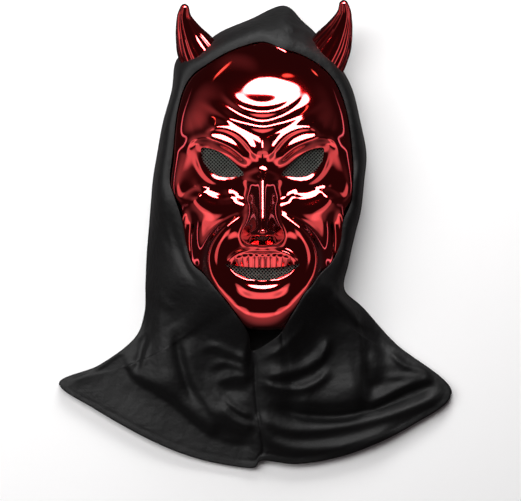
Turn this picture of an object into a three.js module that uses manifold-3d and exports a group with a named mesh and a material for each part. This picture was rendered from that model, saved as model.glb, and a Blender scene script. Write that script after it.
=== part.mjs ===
// Devil mask: a thin moulded face with two hollow horns, gauze behind its openings, and a sewn hood.
// It lies face up. Millimetres: +X is the picture's right, +Y runs to the crown, +Z comes out of the face.
// The origin is on the resting plane, under the middle of the hood's flat back.

import * as THREE from 'three';
import { mergeVertices } from 'three/addons/utils/BufferGeometryUtils.js';
import Module from 'manifold-3d';

const wasm = await Module();
wasm.setup();

// Driving dimensions of the face
const FACE_TOP = 142;
const FACE_CHIN = -128;
const FACE_MIDDLE = 10;
const RIM_HEIGHT = 4;
const WALL = 1.6;
const TOP_ROUNDNESS = 0.5;
const CHIN_ROUNDNESS = 0.22;
const RIM_FADE = 0.04;
const INNER_SKIRT = 6;
const SOFTENING_REACH = 4;

// Stations down the face: place on Y, then half width, crown height or exponent of the cross section
const HALF_WIDTH = [
  [142, 30], [135, 46], [125, 58], [113, 67], [100, 75], [85, 80], [67, 84], [50, 85.5],
  [30, 86.5], [14, 87.5], [4, 88], [-6, 87], [-14, 84], [-24, 80.5], [-40, 78.5], [-54, 76],
  [-65, 73], [-75, 67.5], [-86, 57.5], [-103, 44], [-119, 31], [-128, 23],
];
const CROWN_HEIGHT = [
  [142, 84], [100, 83], [70, 82], [45, 79], [20, 75], [0, 71.5],
  [-25, 68.5], [-60, 71], [-90, 74], [-110, 76], [-128, 74],
];
const SECTION_EXPONENT = [
  [142, 0.75], [100, 0.62], [60, 0.52], [30, 0.46], [0, 0.42],
  [-30, 0.42], [-60, 0.46], [-90, 0.52], [-128, 0.5],
];

// Mesh density of the face: steps across and down its even part, and the close steps at its rim
const OUTER_STEPS = { across: 28, down: 38 };
const INNER_STEPS = { across: 16, down: 22 };
const EVEN_SPAN = 0.94;
const RIM_STEPS = [0.98, 1];

// How finely the curves of the carving and of the openings are drawn, and how tightly they bend
const STROKE_STEPS = 6;
const OPENING_STEPS = 2;
const CURVE_TENSION = 0.5;
const SOFT_END = 0.25;

// Horns: stations of the centre line and the radius there, on the side with positive X
const HORN_STATIONS = [
  { at: [38, 96, 27], radius: 21 },
  { at: [50, 114, 30], radius: 21.5 },
  { at: [60, 131, 34], radius: 18.5 },
  { at: [67, 146, 40], radius: 12.2 },
  { at: [70.5, 158, 46], radius: 7 },
  { at: [70, 166, 51], radius: 3 },
];
const HORN_TIP = [69.8, 169.5, 53];
const HORN_FLATNESS = 0.82;
const HORN_SIDES = 12;
const HORN_STEPS = 7;
const HORN_WALL = 1.8;
const HORN_CUT_SHARE = 0.85;
const HORN_CUT_END = 0.87;
const HORN_LEAST_RADIUS = 0.8;
const HORN_CLEARANCE = 0.6;
const LEFT_HORN_SHIFT = [-2.5, -3.5];

// Openings, seen from the front, and the gauze that is fixed behind them
const EYE_OUTLINE = [
  [53.6, 37], [41.5, 34.7], [31, 28.7], [22.8, 21], [17, 13],
  [26, 10.6], [38.3, 11], [46.5, 15.8], [52.7, 24.6], [54.5, 31],
];
const MOUTH_HALF = [[33, -66.4], [23, -68], [12, -69.2], [0, -69.6]];
const MOUTH_LOWER_HALF = [[0, -81.5], [14, -79], [26, -72.4]];
const GAUZE_MARGIN = 4.5;
const GAUZE_THICKNESS = 0.8;
const GAUZE_GAP = 0.4;

// Hood: the edge round the face, and the outline on the table that belongs to each point of it.
// Both start under the throat and run up the side with negative X. The edge lies on the face, except at
// the throat, where its height is given.
const HOOD_EDGE = [
  [-9, -145, 32], [-12, -131, 47], [-16, -124], [-22, -116], [-28, -107.5], [-36, -97], [-45, -86],
  [-54, -75.5], [-64, -66], [-69, -49], [-73, -27], [-80, -6], [-84, 9], [-81, 36], [-78, 66], [-72, 90],
  [-63, 104], [-50, 113], [-35, 122], [-18, 129], [0, 133], [17, 127], [34, 122], [49, 114], [61, 104],
  [71, 88], [78, 63], [82, 27], [82, 7], [80, -12], [73, -29], [70, -49], [63, -65], [52, -76],
  [45, -86], [38, -94], [31, -106], [24, -117], [18, -127], [13, -132, 44],
];
const HOOD_OUTLINE = [
  [-11, -253], [-57, -245], [-101, -228], [-153, -199], [-185, -176], [-149, -160], [-117, -136],
  [-107, -112], [-106, -85], [-105, -60], [-103, -35], [-101, -10], [-99, 12], [-95, 36], [-90, 63],
  [-82, 92], [-78, 119], [-63, 126], [-51, 135], [-36, 144], [-11, 153], [19, 165], [36, 153], [51, 140],
  [68, 117], [81, 93], [89, 61], [94, 34], [92, 9], [89, -18], [84, -38], [78, -65], [74, -90], [92, -108],
  [122, -141], [172, -183], [136, -214], [82, -239], [34, -249], [0, -246],
];
// Where the cape turns out to the shoulders, its spokes bow towards the hem
const SHOULDER_BOWS = [{ key: 5, spread: 3.6, depth: 16 }, { key: 33.6, spread: 3.4, depth: 12 }];
const LAST_LEFT_HEM_KEY = 4;
const FIRST_RIGHT_HEM_KEY = 35;
const CLOTH = 1.8;
const EDGE_LIFT = 3;
const EDGE_REACH = 3;
const FACE_CLEARANCE = 0.5;
const SIDE_FOLD_HEIGHT = 4.2;
const HEM_HEIGHT = 9;
const NECK_LOFT = 17;
const SNUG_REACH = 14;
const SHORT_REACH = 38;
const LONG_REACH = 85;
const HOOD_RINGS = 7;
const HOOD_STEPS_PER_KEY = 2;
const HEM_OVERRUN = 6;
const HEM_SLOT = 0.4;
const HEM_BLEND = 0.5;
// How the cloth falls along a spoke. Where it is short the cloth stays high and then drops steeply, with
// these exponents. Where it is long the cloth drops within a share of it and is flat before its end.
const STRETCHED_FALL = { first: 1.7, last: 0.8 };
const SNUG_FALL = { first: 3, last: 0.5 };
const LOOSE_FALL = { share: 0.33, power: 1.6, flat: 0.3 };
const FOLDS_START = 0.15;
const FOLDS_END = 0.1;
const EDGE_CUT = 0.4;
const CUT_FLOOR = 20;
const WINDOW_FLOOR = 8;
const CUT_HEIGHT = 150;

// Folds of the cape: points along the fold, its height (a valley is negative) and its half width
const FOLD_FADE = 0.2;
const FOLDS = [
  { path: [[-132, -152], [-116, -183], [-87, -196], [-66, -215], [-42, -240]], height: -5.6, width: 9 },
  { path: [[-66, -118], [-62, -150], [-48, -180], [-26, -215]], height: 8.4, width: 12 },
  { path: [[-5, -168], [26, -165], [48, -157], [56, -142]], height: 7, width: 6 },
  { path: [[-6, -171], [14, -179], [42, -178], [60, -163]], height: 7, width: 6 },
  { path: [[82, -112], [89, -138], [90, -188], [95, -199]], height: 7, width: 6 },
  { path: [[95, -199], [113, -188], [136, -177], [156, -171]], height: 5.6, width: 8 },
  { path: [[-4, -200], [8, -212], [50, -217], [82, -211], [112, -203], [162, -186]], height: 7, width: 8 },
  { path: [[2, -214], [12, -228], [30, -234], [52, -234]], height: 4.2, width: 7 },
];

const PLASTIC = { color: 0xb01018, roughness: 0.12, metalness: 0.9 };
const GAUZE = { color: 0x232622, roughness: 0.8, metalness: 0 };
const SATIN = { color: 0x161618, roughness: 0.5, metalness: 0 };

const lerp = THREE.MathUtils.lerp;
const smooth = (t) => THREE.MathUtils.smoothstep(t, 0, 1);

// A smooth function through stations [x, y] that doesn't overshoot between them
function monotone(stations) {
  const s = [...stations].sort((a, b) => a[0] - b[0]);
  const step = s.slice(1).map((p, i) => p[0] - s[i][0]);
  const slope = step.map((h, i) => (s[i + 1][1] - s[i][1]) / h);
  const tangent = s.map((_, i) => {
    if (i === 0) return slope[0];
    if (i === s.length - 1) return slope[i - 1];
    if (slope[i - 1] * slope[i] <= 0) return 0;
    const before = 2 * step[i] + step[i - 1];
    const after = step[i] + 2 * step[i - 1];
    return (before + after) / (before / slope[i - 1] + after / slope[i]);
  });
  return (x) => {
    const at = THREE.MathUtils.clamp(x, s[0][0], s[s.length - 1][0]);
    const next = s.findIndex((p, k) => k > 0 && at <= p[0]);
    const i = next - 1;
    const t = (at - s[i][0]) / step[i];
    const held = (2 * t ** 3 - 3 * t ** 2 + 1) * s[i][1] + (3 * t ** 2 - 2 * t ** 3) * s[next][1];
    const turned = (t ** 3 - 2 * t ** 2 + t) * tangent[i] + (t ** 3 - t ** 2) * tangent[next];
    return held + turned * step[i];
  };
}

// Points on a smooth curve through the given ones
function curvePoints(points, perSpan, closed = false) {
  const spans = closed ? points.length : points.length - 1;
  const vectors = points.map((p) => new THREE.Vector3(p[0], p[1], p[2] ?? 0));
  const curve = new THREE.CatmullRomCurve3(vectors, closed, 'catmullrom', CURVE_TENSION);
  const count = spans * perSpan + (closed ? 0 : 1);
  return Array.from({ length: count }, (_, i) => curve.getPoint(i / (spans * perSpan)));
}

// A ridge or valley along a curve: widths to the left and right of its direction, faded at its ends. Its
// height may change from one end to the other.
function stroke({ path, height, width, right = width, fade = SOFT_END, endHeight = height }) {
  const line = curvePoints(path, STROKE_STEPS);
  const spans = line.slice(1).map((end, i) => {
    const start = line[i];
    const along = new THREE.Vector2(end.x - start.x, end.y - start.y);
    return { start, along, length: along.length() };
  });
  const total = spans.reduce((sum, span) => sum + span.length, 0);
  return (x, y) => {
    let nearest = { distance: Infinity };
    let passed = 0;
    for (const { start, along, length } of spans) {
      const dx = x - start.x;
      const dy = y - start.y;
      const t = THREE.MathUtils.clamp((dx * along.x + dy * along.y) / (length * length), 0, 1);
      const ex = dx - t * along.x;
      const ey = dy - t * along.y;
      const distance = ex * ex + ey * ey;
      if (distance < nearest.distance) {
        const side = along.x * ey - along.y * ex;
        nearest = { distance, side, place: (passed + t * length) / total };
      }
      passed += length;
    }
    const reach = nearest.side > 0 ? width : right;
    const taper = fade > 0 ? smooth(nearest.place / fade) * smooth((1 - nearest.place) / fade) : 1;
    const rise = lerp(height, endHeight, nearest.place) * taper;
    return rise * Math.exp(-0.5 * nearest.distance / (reach * reach));
  };
}

// A rounded boss or hollow
function boss({ at, size, height, turn = 0 }) {
  const angle = THREE.MathUtils.degToRad(turn);
  const c = Math.cos(angle);
  const s = Math.sin(angle);
  return (x, y) => {
    const u = ((x - at[0]) * c + (y - at[1]) * s) / size[0];
    const v = ((y - at[1]) * c - (x - at[0]) * s) / size[1];
    return height * Math.exp(-0.5 * (u * u + v * v));
  };
}

// Carving that crosses the middle of the face: two brow furrows, both lips and the dip below them
const MIDDLE_CARVING = [
  stroke({ path: [[-38, 90], [-29, 79.5], [-19, 72], [0, 67.3], [19, 72], [29, 79.5], [38, 90]],
    height: 3.8, width: 4.2, right: 3.6, fade: 0.5 }),
  stroke({ path: [[-60, 82], [-46, 73.5], [-31, 64.5], [0, 54], [31, 64.5], [46, 73.5], [60, 82]],
    height: 4, width: 4.2, right: 3.6, fade: 0.5 }),
  stroke({ path: [[-32, -67], [-22, -57], [0, -55], [22, -57], [32, -67]],
    height: 2.6, width: 2.4, right: 2, fade: 0.12 }),
  stroke({ path: [[-31, -68], [-21, -83], [0, -89.5], [21, -83], [31, -68]],
    height: 3.2, width: 3.6, fade: 0.2 }),
  stroke({ path: [[-30, -90], [-14, -98], [0, -99.5], [14, -98], [30, -90]],
    height: -2, width: 3, fade: 0.3 }),
];

const BROWS = [
  boss({ at: [2, 94], size: [15, 18], height: 3 }),
  stroke({ path: [[4, 20], [14, 29], [28, 38], [44, 42], [60, 39]], height: 4, width: 14, right: 5 }),
  stroke({ path: [[1, 20], [5, 29], [11, 37.5], [24, 50], [34, 54], [54, 52]],
    height: 4.4, width: 6, right: 3, fade: 0.2 }),
  stroke({ path: [[10, 20], [29, 37.5], [44, 44.5], [56, 45.5], [65, 41], [70, 31]],
    height: 3.6, width: 5, right: 3, fade: 0.18 }),
];

const EYES = [
  boss({ at: [38, 23.5], size: [21, 12], height: -3, turn: -24 }),
  stroke({ path: [[14, 10.5], [30, 6], [42, 7.2], [51, 14], [58, 36]], height: 2, width: 3.4, right: 2.6 }),
  stroke({ path: [[19, -10], [33, -16.5], [43, -17.5], [54, -14], [66, 3]], height: 4.8, width: 11, right: 5,
    fade: 0.35 }),
];

const CHEEKS = [
  boss({ at: [80, 2], size: [7, 12], height: 4 }),
  stroke({ path: [[5, -15], [13, -20], [28, -28], [37, -35.5], [45, -46], [48.5, -59], [46, -74], [40, -88],
    [32, -101], [24, -114]], height: 6.8, width: 5.5, right: 6, fade: 0.12 }),
  stroke({ path: [[62, -18], [65, -34], [65, -52], [61, -68]], height: -5, width: 4.5, fade: 0.3 }),
  stroke({ path: [[70, -14], [73, -34], [72, -52], [67, -68]], height: 4, width: 3.5, fade: 0.3 }),
];

const NOSE = [
  stroke({ path: [[0, 28], [0, 14], [0, 0], [0, -20], [0, -40]],
    height: 1.5, endHeight: 20.5, width: 8, fade: 0 }),
  stroke({ path: [[0, 20], [0, 8], [0, -12], [0, -30]], height: 2.2, width: 2.6, fade: 0.2 }),
  stroke({ path: [[0, 16], [0, -10], [0, -30], [0, -46]], height: 3, endHeight: 9, width: 12, fade: 0.15 }),
  boss({ at: [0, -36], size: [6.5, 6.5], height: 4 }),
  boss({ at: [11.5, -41], size: [4.2, 5], height: 6.5 }),
  stroke({ path: [[11, 8], [15, -8], [22, -22]], height: -2, width: 4.5, fade: 0.3 }),
];

const JAW = [
  boss({ at: [0, -62], size: [30, 18], height: 5 }),
  boss({ at: [0, -108], size: [19, 12], height: 3 }),
];

// Carving on the side with positive X, which the other side mirrors
const SIDE_CARVING = [...BROWS, ...EYES, ...CHEEKS, ...NOSE, ...JAW];

function carving(x, y) {
  const middle = MIDDLE_CARVING.reduce((sum, shape) => sum + shape(x, y), 0);
  return SIDE_CARVING.reduce((sum, shape) => sum + shape(Math.abs(x), y), middle);
}

// A closed mesh under construction
class Body {
  constructor() {
    this.points = [];
    this.faces = [];
  }

  point(p) {
    this.points.push(p.x, p.y, p.z);
    return this.points.length / 3 - 1;
  }

  row(points) {
    return points.map((p) => this.point(p));
  }

  // A band of faces between two rows of the same length
  band(a, b, closed) {
    const last = closed ? a.length : a.length - 1;
    for (let i = 0; i < last; i++) {
      const j = (i + 1) % a.length;
      this.faces.push(a[i], a[j], b[j], a[i], b[j], b[i]);
    }
  }

  // A face across a ring of points, laid out by their places in plan
  cap(ring, flipped = false) {
    const plan = ring.map((i) => new THREE.Vector2(this.points[3 * i], this.points[3 * i + 1]));
    for (const [a, b, c] of THREE.ShapeUtils.triangulateShape(plan, [])) {
      this.faces.push(ring[a], ...(flipped ? [ring[c], ring[b]] : [ring[b], ring[c]]));
    }
  }

  // A cone of faces from a ring to one point
  close(ring, tip) {
    const end = this.point(tip);
    ring.forEach((a, i) => this.faces.push(a, ring[(i + 1) % ring.length], end));
  }

  solid() {
    return solidOf(this.points, this.faces);
  }
}

function solidOf(points, faces) {
  const vertProperties = new Float32Array(points);
  const triVerts = new Uint32Array(faces);
  return new wasm.Manifold(new wasm.Mesh({ numProp: 3, vertProperties, triVerts }));
}

// The upright prism of an outline
function prism(outline, bottom, height) {
  const shape = new THREE.Shape(outline.map((p) => new THREE.Vector2(p.x, p.y)));
  const geometry = new THREE.ExtrudeGeometry(shape, { depth: height, bevelEnabled: false });
  geometry.translate(0, 0, bottom);
  geometry.deleteAttribute('normal');
  geometry.deleteAttribute('uv');
  const merged = mergeVertices(geometry);
  return solidOf(merged.attributes.position.array, merged.index.array);
}

function meshOf(name, solid, finish) {
  const { vertProperties, triVerts, numProp } = solid.getMesh();
  const geometry = new THREE.BufferGeometry();
  const count = vertProperties.length / numProp;
  const positions = new Float32Array(3 * count);
  for (let i = 0; i < count; i++) {
    for (let k = 0; k < 3; k++) positions[3 * i + k] = vertProperties[numProp * i + k];
  }
  geometry.setAttribute('position', new THREE.BufferAttribute(positions, 3));
  geometry.setIndex(new THREE.BufferAttribute(new Uint32Array(triVerts), 1));
  geometry.computeVertexNormals();
  const mesh = new THREE.Mesh(geometry, new THREE.MeshStandardMaterial(finish));
  mesh.name = name;
  return mesh;
}

const halfWidth = monotone(HALF_WIDTH);
const crownHeight = monotone(CROWN_HEIGHT);
const sectionExponent = monotone(SECTION_EXPONENT);

// Shares from -1 to 1, even in the middle and closer at both ends
function shares(steps) {
  const even = Array.from({ length: steps + 1 }, (_, i) => EVEN_SPAN * (2 * i / steps - 1));
  return [...RIM_STEPS.map((s) => -s).reverse(), ...even, ...RIM_STEPS];
}

// A point of the face: across and down run from -1 to 1, inset is the distance inside the outer skin
function facePoint(across, down, inset, softening = []) {
  const upper = down > 0;
  const place = (reach) => FACE_MIDDLE + down * reach;
  const y = place(upper ? FACE_TOP - FACE_MIDDLE : FACE_MIDDLE - FACE_CHIN);
  const insetY = place(upper ? FACE_TOP - FACE_MIDDLE - inset : FACE_MIDDLE - FACE_CHIN - inset);
  const x = halfWidth(y) * across;
  const roundness = upper ? TOP_ROUNDNESS : CHIN_ROUNDNESS;
  const end = Math.sqrt(Math.max(0, 1 - down * down)) ** roundness;
  const section = Math.sqrt(Math.max(0, 1 - across * across)) ** sectionExponent(y);
  const rim = smooth((1 - Math.abs(across)) / RIM_FADE) * smooth((1 - Math.abs(down)) / RIM_FADE);
  const around = [[0, 0], ...softening].map(([dx, dy]) => carving(x + dx, y + dy));
  const z = RIM_HEIGHT + (crownHeight(y) - inset - RIM_HEIGHT) * end * section + rim * Math.min(...around);
  return new THREE.Vector3((halfWidth(y) - inset) * across, insetY, z);
}

// The face as a filled body, from its rim plane to its skin
function faceBody(steps, inset, skirt, softening) {
  const body = new Body();
  const across = shares(steps.across);
  const rows = shares(steps.down).map((down) => body.row(
    across.map((share) => facePoint(share, down, inset, softening))));
  for (let j = 1; j < rows.length; j++) body.band(rows[j - 1], rows[j], false);
  const first = rows[0];
  const last = rows[rows.length - 1];
  const right = rows.slice(1, -1).map((row) => row[row.length - 1]);
  const left = rows.slice(1, -1).map((row) => row[0]);
  let ring = [...first, ...right, ...[...last].reverse(), ...left.reverse()];
  if (skirt > 0) {
    const lowered = body.row(ring.map((i) => new THREE.Vector3(
      body.points[3 * i], body.points[3 * i + 1], RIM_HEIGHT - skirt)));
    body.band(lowered, ring, true);
    ring = lowered;
  }
  body.cap(ring, true);
  return body.solid();
}

// The inner skin keeps below the outer one by looking at the carving round each of its points
const SOFTENING = [[1, 0], [-1, 0], [0, 1], [0, -1]].map((way) => way.map((v) => v * SOFTENING_REACH));
const innerFace = (inset) => faceBody(INNER_STEPS, inset, INNER_SKIRT, SOFTENING);

// One horn as a filled body: side is 1 or -1, grow is added to its radius
function hornBody(side, grow, share = 1) {
  const shift = side < 0 ? LEFT_HORN_SHIFT : [0, 0];
  const place = (at) => new THREE.Vector3(side * at[0] + shift[0], at[1] + shift[1], at[2]);
  const stations = HORN_STATIONS.map(({ at }) => place(at));
  const line = new THREE.CatmullRomCurve3(stations, false, 'catmullrom', CURVE_TENSION);
  const radius = monotone(HORN_STATIONS.map((station, i) => [i / (stations.length - 1), station.radius]));
  const up = new THREE.Vector3(0, 0, 1);
  const body = new Body();
  const rings = Array.from({ length: HORN_STEPS + 1 }, (_, i) => {
    const t = share * i / HORN_STEPS;
    const along = line.getTangent(t);
    const wide = new THREE.Vector3().crossVectors(along, up).normalize();
    const high = new THREE.Vector3().crossVectors(wide, along);
    const size = Math.max(radius(t) + grow, HORN_LEAST_RADIUS);
    return body.row(Array.from({ length: HORN_SIDES }, (_, k) => {
      const angle = 2 * Math.PI * k / HORN_SIDES;
      return line.getPoint(t).addScaledVector(wide, size * Math.cos(angle))
        .addScaledVector(high, size * HORN_FLATNESS * Math.sin(angle));
    }));
  });
  for (let i = 1; i < rings.length; i++) body.band(rings[i], rings[i - 1], true);
  const end = rings[rings.length - 1];
  const tip = share < 1 ? line.getPoint(HORN_CUT_END) : place(HORN_TIP).add(new THREE.Vector3(0, grow, 0));
  body.close([...end].reverse(), tip);
  body.close(rings[0], line.getPoint(0));
  return body.solid();
}

// Outlines of the openings, and the same moved outwards for the gauze
function openingOutline(points, outwards) {
  const line = curvePoints(points, OPENING_STEPS, true);
  const middle = line.reduce((sum, p) => sum.add(p), new THREE.Vector3()).divideScalar(line.length);
  return line.map((p) => {
    const away = p.clone().sub(middle).normalize();
    return p.clone().addScaledVector(away, outwards);
  });
}

const mirrored = (points) => points.map(([x, y]) => [-x, y]).reverse();
const MOUTH_OUTLINE = [...MOUTH_HALF, ...mirrored(MOUTH_HALF.slice(0, -1)),
  ...mirrored(MOUTH_LOWER_HALF.slice(1)), ...MOUTH_LOWER_HALF];
const OPENINGS = {
  eye_mesh_left: mirrored(EYE_OUTLINE),
  eye_mesh_right: EYE_OUTLINE,
  mouth_mesh: MOUTH_OUTLINE,
};

function maskShell() {
  let shell = faceBody(OUTER_STEPS, 0, 0, []);
  for (const side of [-1, 1]) shell = shell.add(hornBody(side, 0));
  shell = shell.subtract(innerFace(WALL));
  for (const side of [-1, 1]) shell = shell.subtract(hornBody(side, -HORN_WALL, HORN_CUT_SHARE));
  for (const outline of Object.values(OPENINGS)) {
    shell = shell.subtract(prism(openingOutline(outline, 0), RIM_HEIGHT, CUT_HEIGHT));
  }
  return shell;
}

// The gauze lies against the inner skin, wider than its opening
function gauze(outline) {
  const top = WALL + GAUZE_GAP;
  const layer = innerFace(top).subtract(innerFace(top + GAUZE_THICKNESS));
  return layer.intersect(prism(openingOutline(outline, GAUZE_MARGIN), CUT_FLOOR, CUT_HEIGHT));
}

// Height of the face's skin above a place in plan, or nothing outside it
function faceHeight(x, y) {
  const down = (y - FACE_MIDDLE) / (y > FACE_MIDDLE ? FACE_TOP - FACE_MIDDLE : FACE_MIDDLE - FACE_CHIN);
  const across = x / halfWidth(y);
  if (Math.abs(down) >= 1 || Math.abs(across) >= 1) return 0;
  return facePoint(across, down, 0).z;
}

const FOLD_SHAPES = FOLDS.map((fold) => stroke({ ...fold, fade: FOLD_FADE }));

// The spokes of the hood's front layer: each runs from the edge round the face to the outline
function hoodSpokes() {
  const outline = curvePoints(HOOD_OUTLINE, HOOD_STEPS_PER_KEY, true);
  const seat = ([x, y], [outX, outY]) => {
    const out = new THREE.Vector2(outX - x, outY - y).normalize().multiplyScalar(-EDGE_REACH);
    return faceHeight(x + out.x, y + out.y) + EDGE_LIFT;
  };
  const keys = HOOD_EDGE.map((p, i) => [p[0], p[1], p[2] ?? seat(p, HOOD_OUTLINE[i])]);
  return curvePoints(keys, HOOD_STEPS_PER_KEY, true).map((from, i) => {
    const to = outline[i];
    const next = outline[(i + 1) % outline.length];
    const side = next.clone().sub(outline.at(i - 1)).normalize();
    const key = i / HOOD_STEPS_PER_KEY;
    const fromCorner = Math.max(LAST_LEFT_HEM_KEY - key, key - FIRST_RIGHT_HEM_KEY);
    const out = new THREE.Vector3(to.x - from.x, to.y - from.y, 0);
    const reach = out.length();
    return {
      from: new THREE.Vector3(from.x, from.y, 0),
      height: Math.max(from.z, faceHeight(from.x, from.y) + EDGE_LIFT),
      to,
      out: out.normalize(),
      away: new THREE.Vector3(-side.y, side.x, 0),
      bow: SHOULDER_BOWS.reduce((sum, b) => sum + b.depth * smooth(1 - Math.abs(key - b.key) / b.spread), 0),
      hem: smooth(fromCorner + HEM_BLEND),
      snug: 1 - smooth((reach - SNUG_REACH) / (SHORT_REACH - SNUG_REACH)),
      long: smooth((reach - SHORT_REACH) / (LONG_REACH - SHORT_REACH)),
    };
  });
}

function hoodPoint(spoke, t) {
  const at = spoke.from.clone().lerp(spoke.to, t);
  at.y -= 4 * t * (1 - t) * spoke.bow;
  const foot = lerp(SIDE_FOLD_HEIGHT, HEM_HEIGHT, spoke.hem);
  const floor = foot + (NECK_LOFT - foot) * (1 - t) * spoke.long;
  const first = lerp(STRETCHED_FALL.first, SNUG_FALL.first, spoke.snug);
  const last = lerp(STRETCHED_FALL.last, SNUG_FALL.last, spoke.snug);
  const tight = (1 - t ** first) ** last;
  const loose = Math.exp(-((t / LOOSE_FALL.share) ** LOOSE_FALL.power)) * smooth((1 - t) / LOOSE_FALL.flat);
  const fall = lerp(tight, loose, spoke.long);
  const reach = smooth(t / FOLDS_START) * lerp(smooth((1 - t) / FOLDS_END), 1, spoke.hem);
  const folds = FOLD_SHAPES.reduce((sum, shape) => sum + shape(at.x, at.y), 0) * reach;
  const clear = faceHeight(at.x, at.y) + FACE_CLEARANCE + CLOTH;
  at.z = Math.max(SIDE_FOLD_HEIGHT, clear, lerp(floor, spoke.height, fall) + folds);
  return at;
}

// Grid of the front layer's outer side, then of its inner side, one cloth thickness further in
function hoodGrids(spokes) {
  const outer = spokes.map((spoke) => Array.from({ length: HOOD_RINGS + 1 },
    (_, j) => hoodPoint(spoke, j / HOOD_RINGS)));
  const count = spokes.length;
  const inner = outer.map((line, i) => line.map((p, j) => {
    const round = outer[(i + 1) % count][j].clone().sub(outer[(i + count - 1) % count][j]);
    const along = line[Math.min(j + 1, HOOD_RINGS)].clone().sub(line[Math.max(j - 1, 0)]);
    const normal = round.cross(along).normalize();
    const q = p.clone();
    if (j < HOOD_RINGS) {
      q.addScaledVector(normal, -CLOTH);
    } else {
      q.addScaledVector(spokes[i].away, lerp(-CLOTH, HEM_OVERRUN, spokes[i].hem));
      q.z -= CLOTH;
    }
    q.z = Math.max(q.z, CLOTH + HEM_SLOT);
    return q;
  }));
  return { outer, inner };
}

// A body under the front layer, down to a flat bottom
function hoodBody(grid, bottom) {
  const body = new Body();
  const rings = grid[0].map((_, j) => body.row(grid.map((line) => line[j])));
  for (let j = 1; j < rings.length; j++) body.band(rings[j - 1], rings[j], true);
  const outline = rings[rings.length - 1];
  const foot = body.row(grid.map((line) => {
    const p = line[line.length - 1];
    return new THREE.Vector3(p.x, p.y, bottom);
  }));
  body.band(outline, foot, true);
  body.cap(rings[0]);
  body.cap(foot, true);
  return body.solid();
}

function hood() {
  const spokes = hoodSpokes();
  const { outer, inner } = hoodGrids(spokes);
  const window = spokes.map((spoke) => spoke.from.clone().addScaledVector(spoke.out, EDGE_CUT));
  let cloth = hoodBody(outer, 0).subtract(hoodBody(inner, CLOTH));
  cloth = cloth.subtract(prism(window, WINDOW_FLOOR, CUT_HEIGHT));
  cloth = cloth.subtract(faceBody(OUTER_STEPS, -FACE_CLEARANCE, 0, []));
  for (const side of [-1, 1]) cloth = cloth.subtract(hornBody(side, HORN_CLEARANCE));
  return cloth;
}

const mask = new THREE.Group();
mask.add(meshOf('mask_shell', maskShell(), PLASTIC));
for (const [name, outline] of Object.entries(OPENINGS)) {
  mask.add(meshOf(name, gauze(outline), GAUZE));
}
mask.add(meshOf('hood', hood(), SATIN));

export default mask;
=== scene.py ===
"""Devil mask lying face up: a moulded face with hollow horns, gauze behind its openings, a satin hood.

Sizes are millimetres in the part's own frame and become metres when a mesh is made. +X is the picture's
right, +Y runs to the crown and +Z comes out of the face, up from the floor that the mask lies on.
"""

from __future__ import annotations

import logging
import math
from dataclasses import dataclass, field
from enum import Enum
from functools import cached_property
from typing import Callable, Sequence

import bmesh
import bpy
import numpy as np
from mathutils import Matrix, Vector


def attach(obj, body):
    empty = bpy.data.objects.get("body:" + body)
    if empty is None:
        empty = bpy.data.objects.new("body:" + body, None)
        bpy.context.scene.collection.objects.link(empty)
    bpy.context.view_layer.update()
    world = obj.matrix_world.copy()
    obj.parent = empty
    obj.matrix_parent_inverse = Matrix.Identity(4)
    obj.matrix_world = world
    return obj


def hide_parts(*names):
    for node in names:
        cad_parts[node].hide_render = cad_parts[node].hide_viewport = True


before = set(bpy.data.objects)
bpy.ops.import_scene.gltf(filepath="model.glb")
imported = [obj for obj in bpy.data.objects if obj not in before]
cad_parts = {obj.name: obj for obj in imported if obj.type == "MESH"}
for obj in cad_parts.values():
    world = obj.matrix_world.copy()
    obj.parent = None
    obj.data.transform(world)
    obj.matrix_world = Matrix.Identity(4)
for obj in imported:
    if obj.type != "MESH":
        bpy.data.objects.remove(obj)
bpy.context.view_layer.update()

LOG = logging.getLogger("devil_mask")
MM = 0.001
MERGE_DISTANCE = 1e-6

Array = np.ndarray
Curve = Callable[[Array], Array]
Points = Sequence[Sequence[float]]
Colour = tuple[float, float, float, float]
Draft = bmesh.types.BMesh
Piece = bpy.types.Object
Material = bpy.types.Material
Socket = bpy.types.NodeSocket


def smooth(t: Array | float) -> Array:
    """An even step from 0 to 1, held outside that range."""
    held = np.clip(t, 0.0, 1.0)
    return held * held * (3 - 2 * held)


def lerp(a: Array | float, b: Array | float, t: Array | float) -> Array:
    """The value that lies the share t on the way from a to b."""
    return a + (b - a) * t


def monotone(stations: Points) -> Curve:
    """A smooth function through stations that doesn't overshoot between them.

    Args:
        stations: pairs of place and value, in any order.

    Returns:
        The function, which takes and gives an array.
    """
    knot, value = (np.array(column, float) for column in zip(*sorted(stations)))
    step = np.diff(knot)
    slope = np.diff(value) / step
    before = 2 * step[1:] + step[:-1]
    after = step[1:] + 2 * step[:-1]
    safe = np.where(slope == 0, 1.0, slope)
    turn = slope[:-1] * slope[1:] <= 0
    inner = np.where(turn, 0.0, (before + after) / (before / safe[:-1] + after / safe[1:]))
    tangent = np.concatenate([slope[:1], inner, slope[-1:]])

    def at(x: Array) -> Array:
        """The function's value at x."""
        held = np.clip(x, knot[0], knot[-1])
        i = np.clip(np.searchsorted(knot, held, side="right") - 1, 0, len(step) - 1)
        t = (held - knot[i]) / step[i]
        kept = (2 * t**3 - 3 * t**2 + 1) * value[i] + (3 * t**2 - 2 * t**3) * value[i + 1]
        turned = (t**3 - 2 * t**2 + t) * tangent[i] + (t**3 - t**2) * tangent[i + 1]
        return kept + turned * step[i]

    return at


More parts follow.
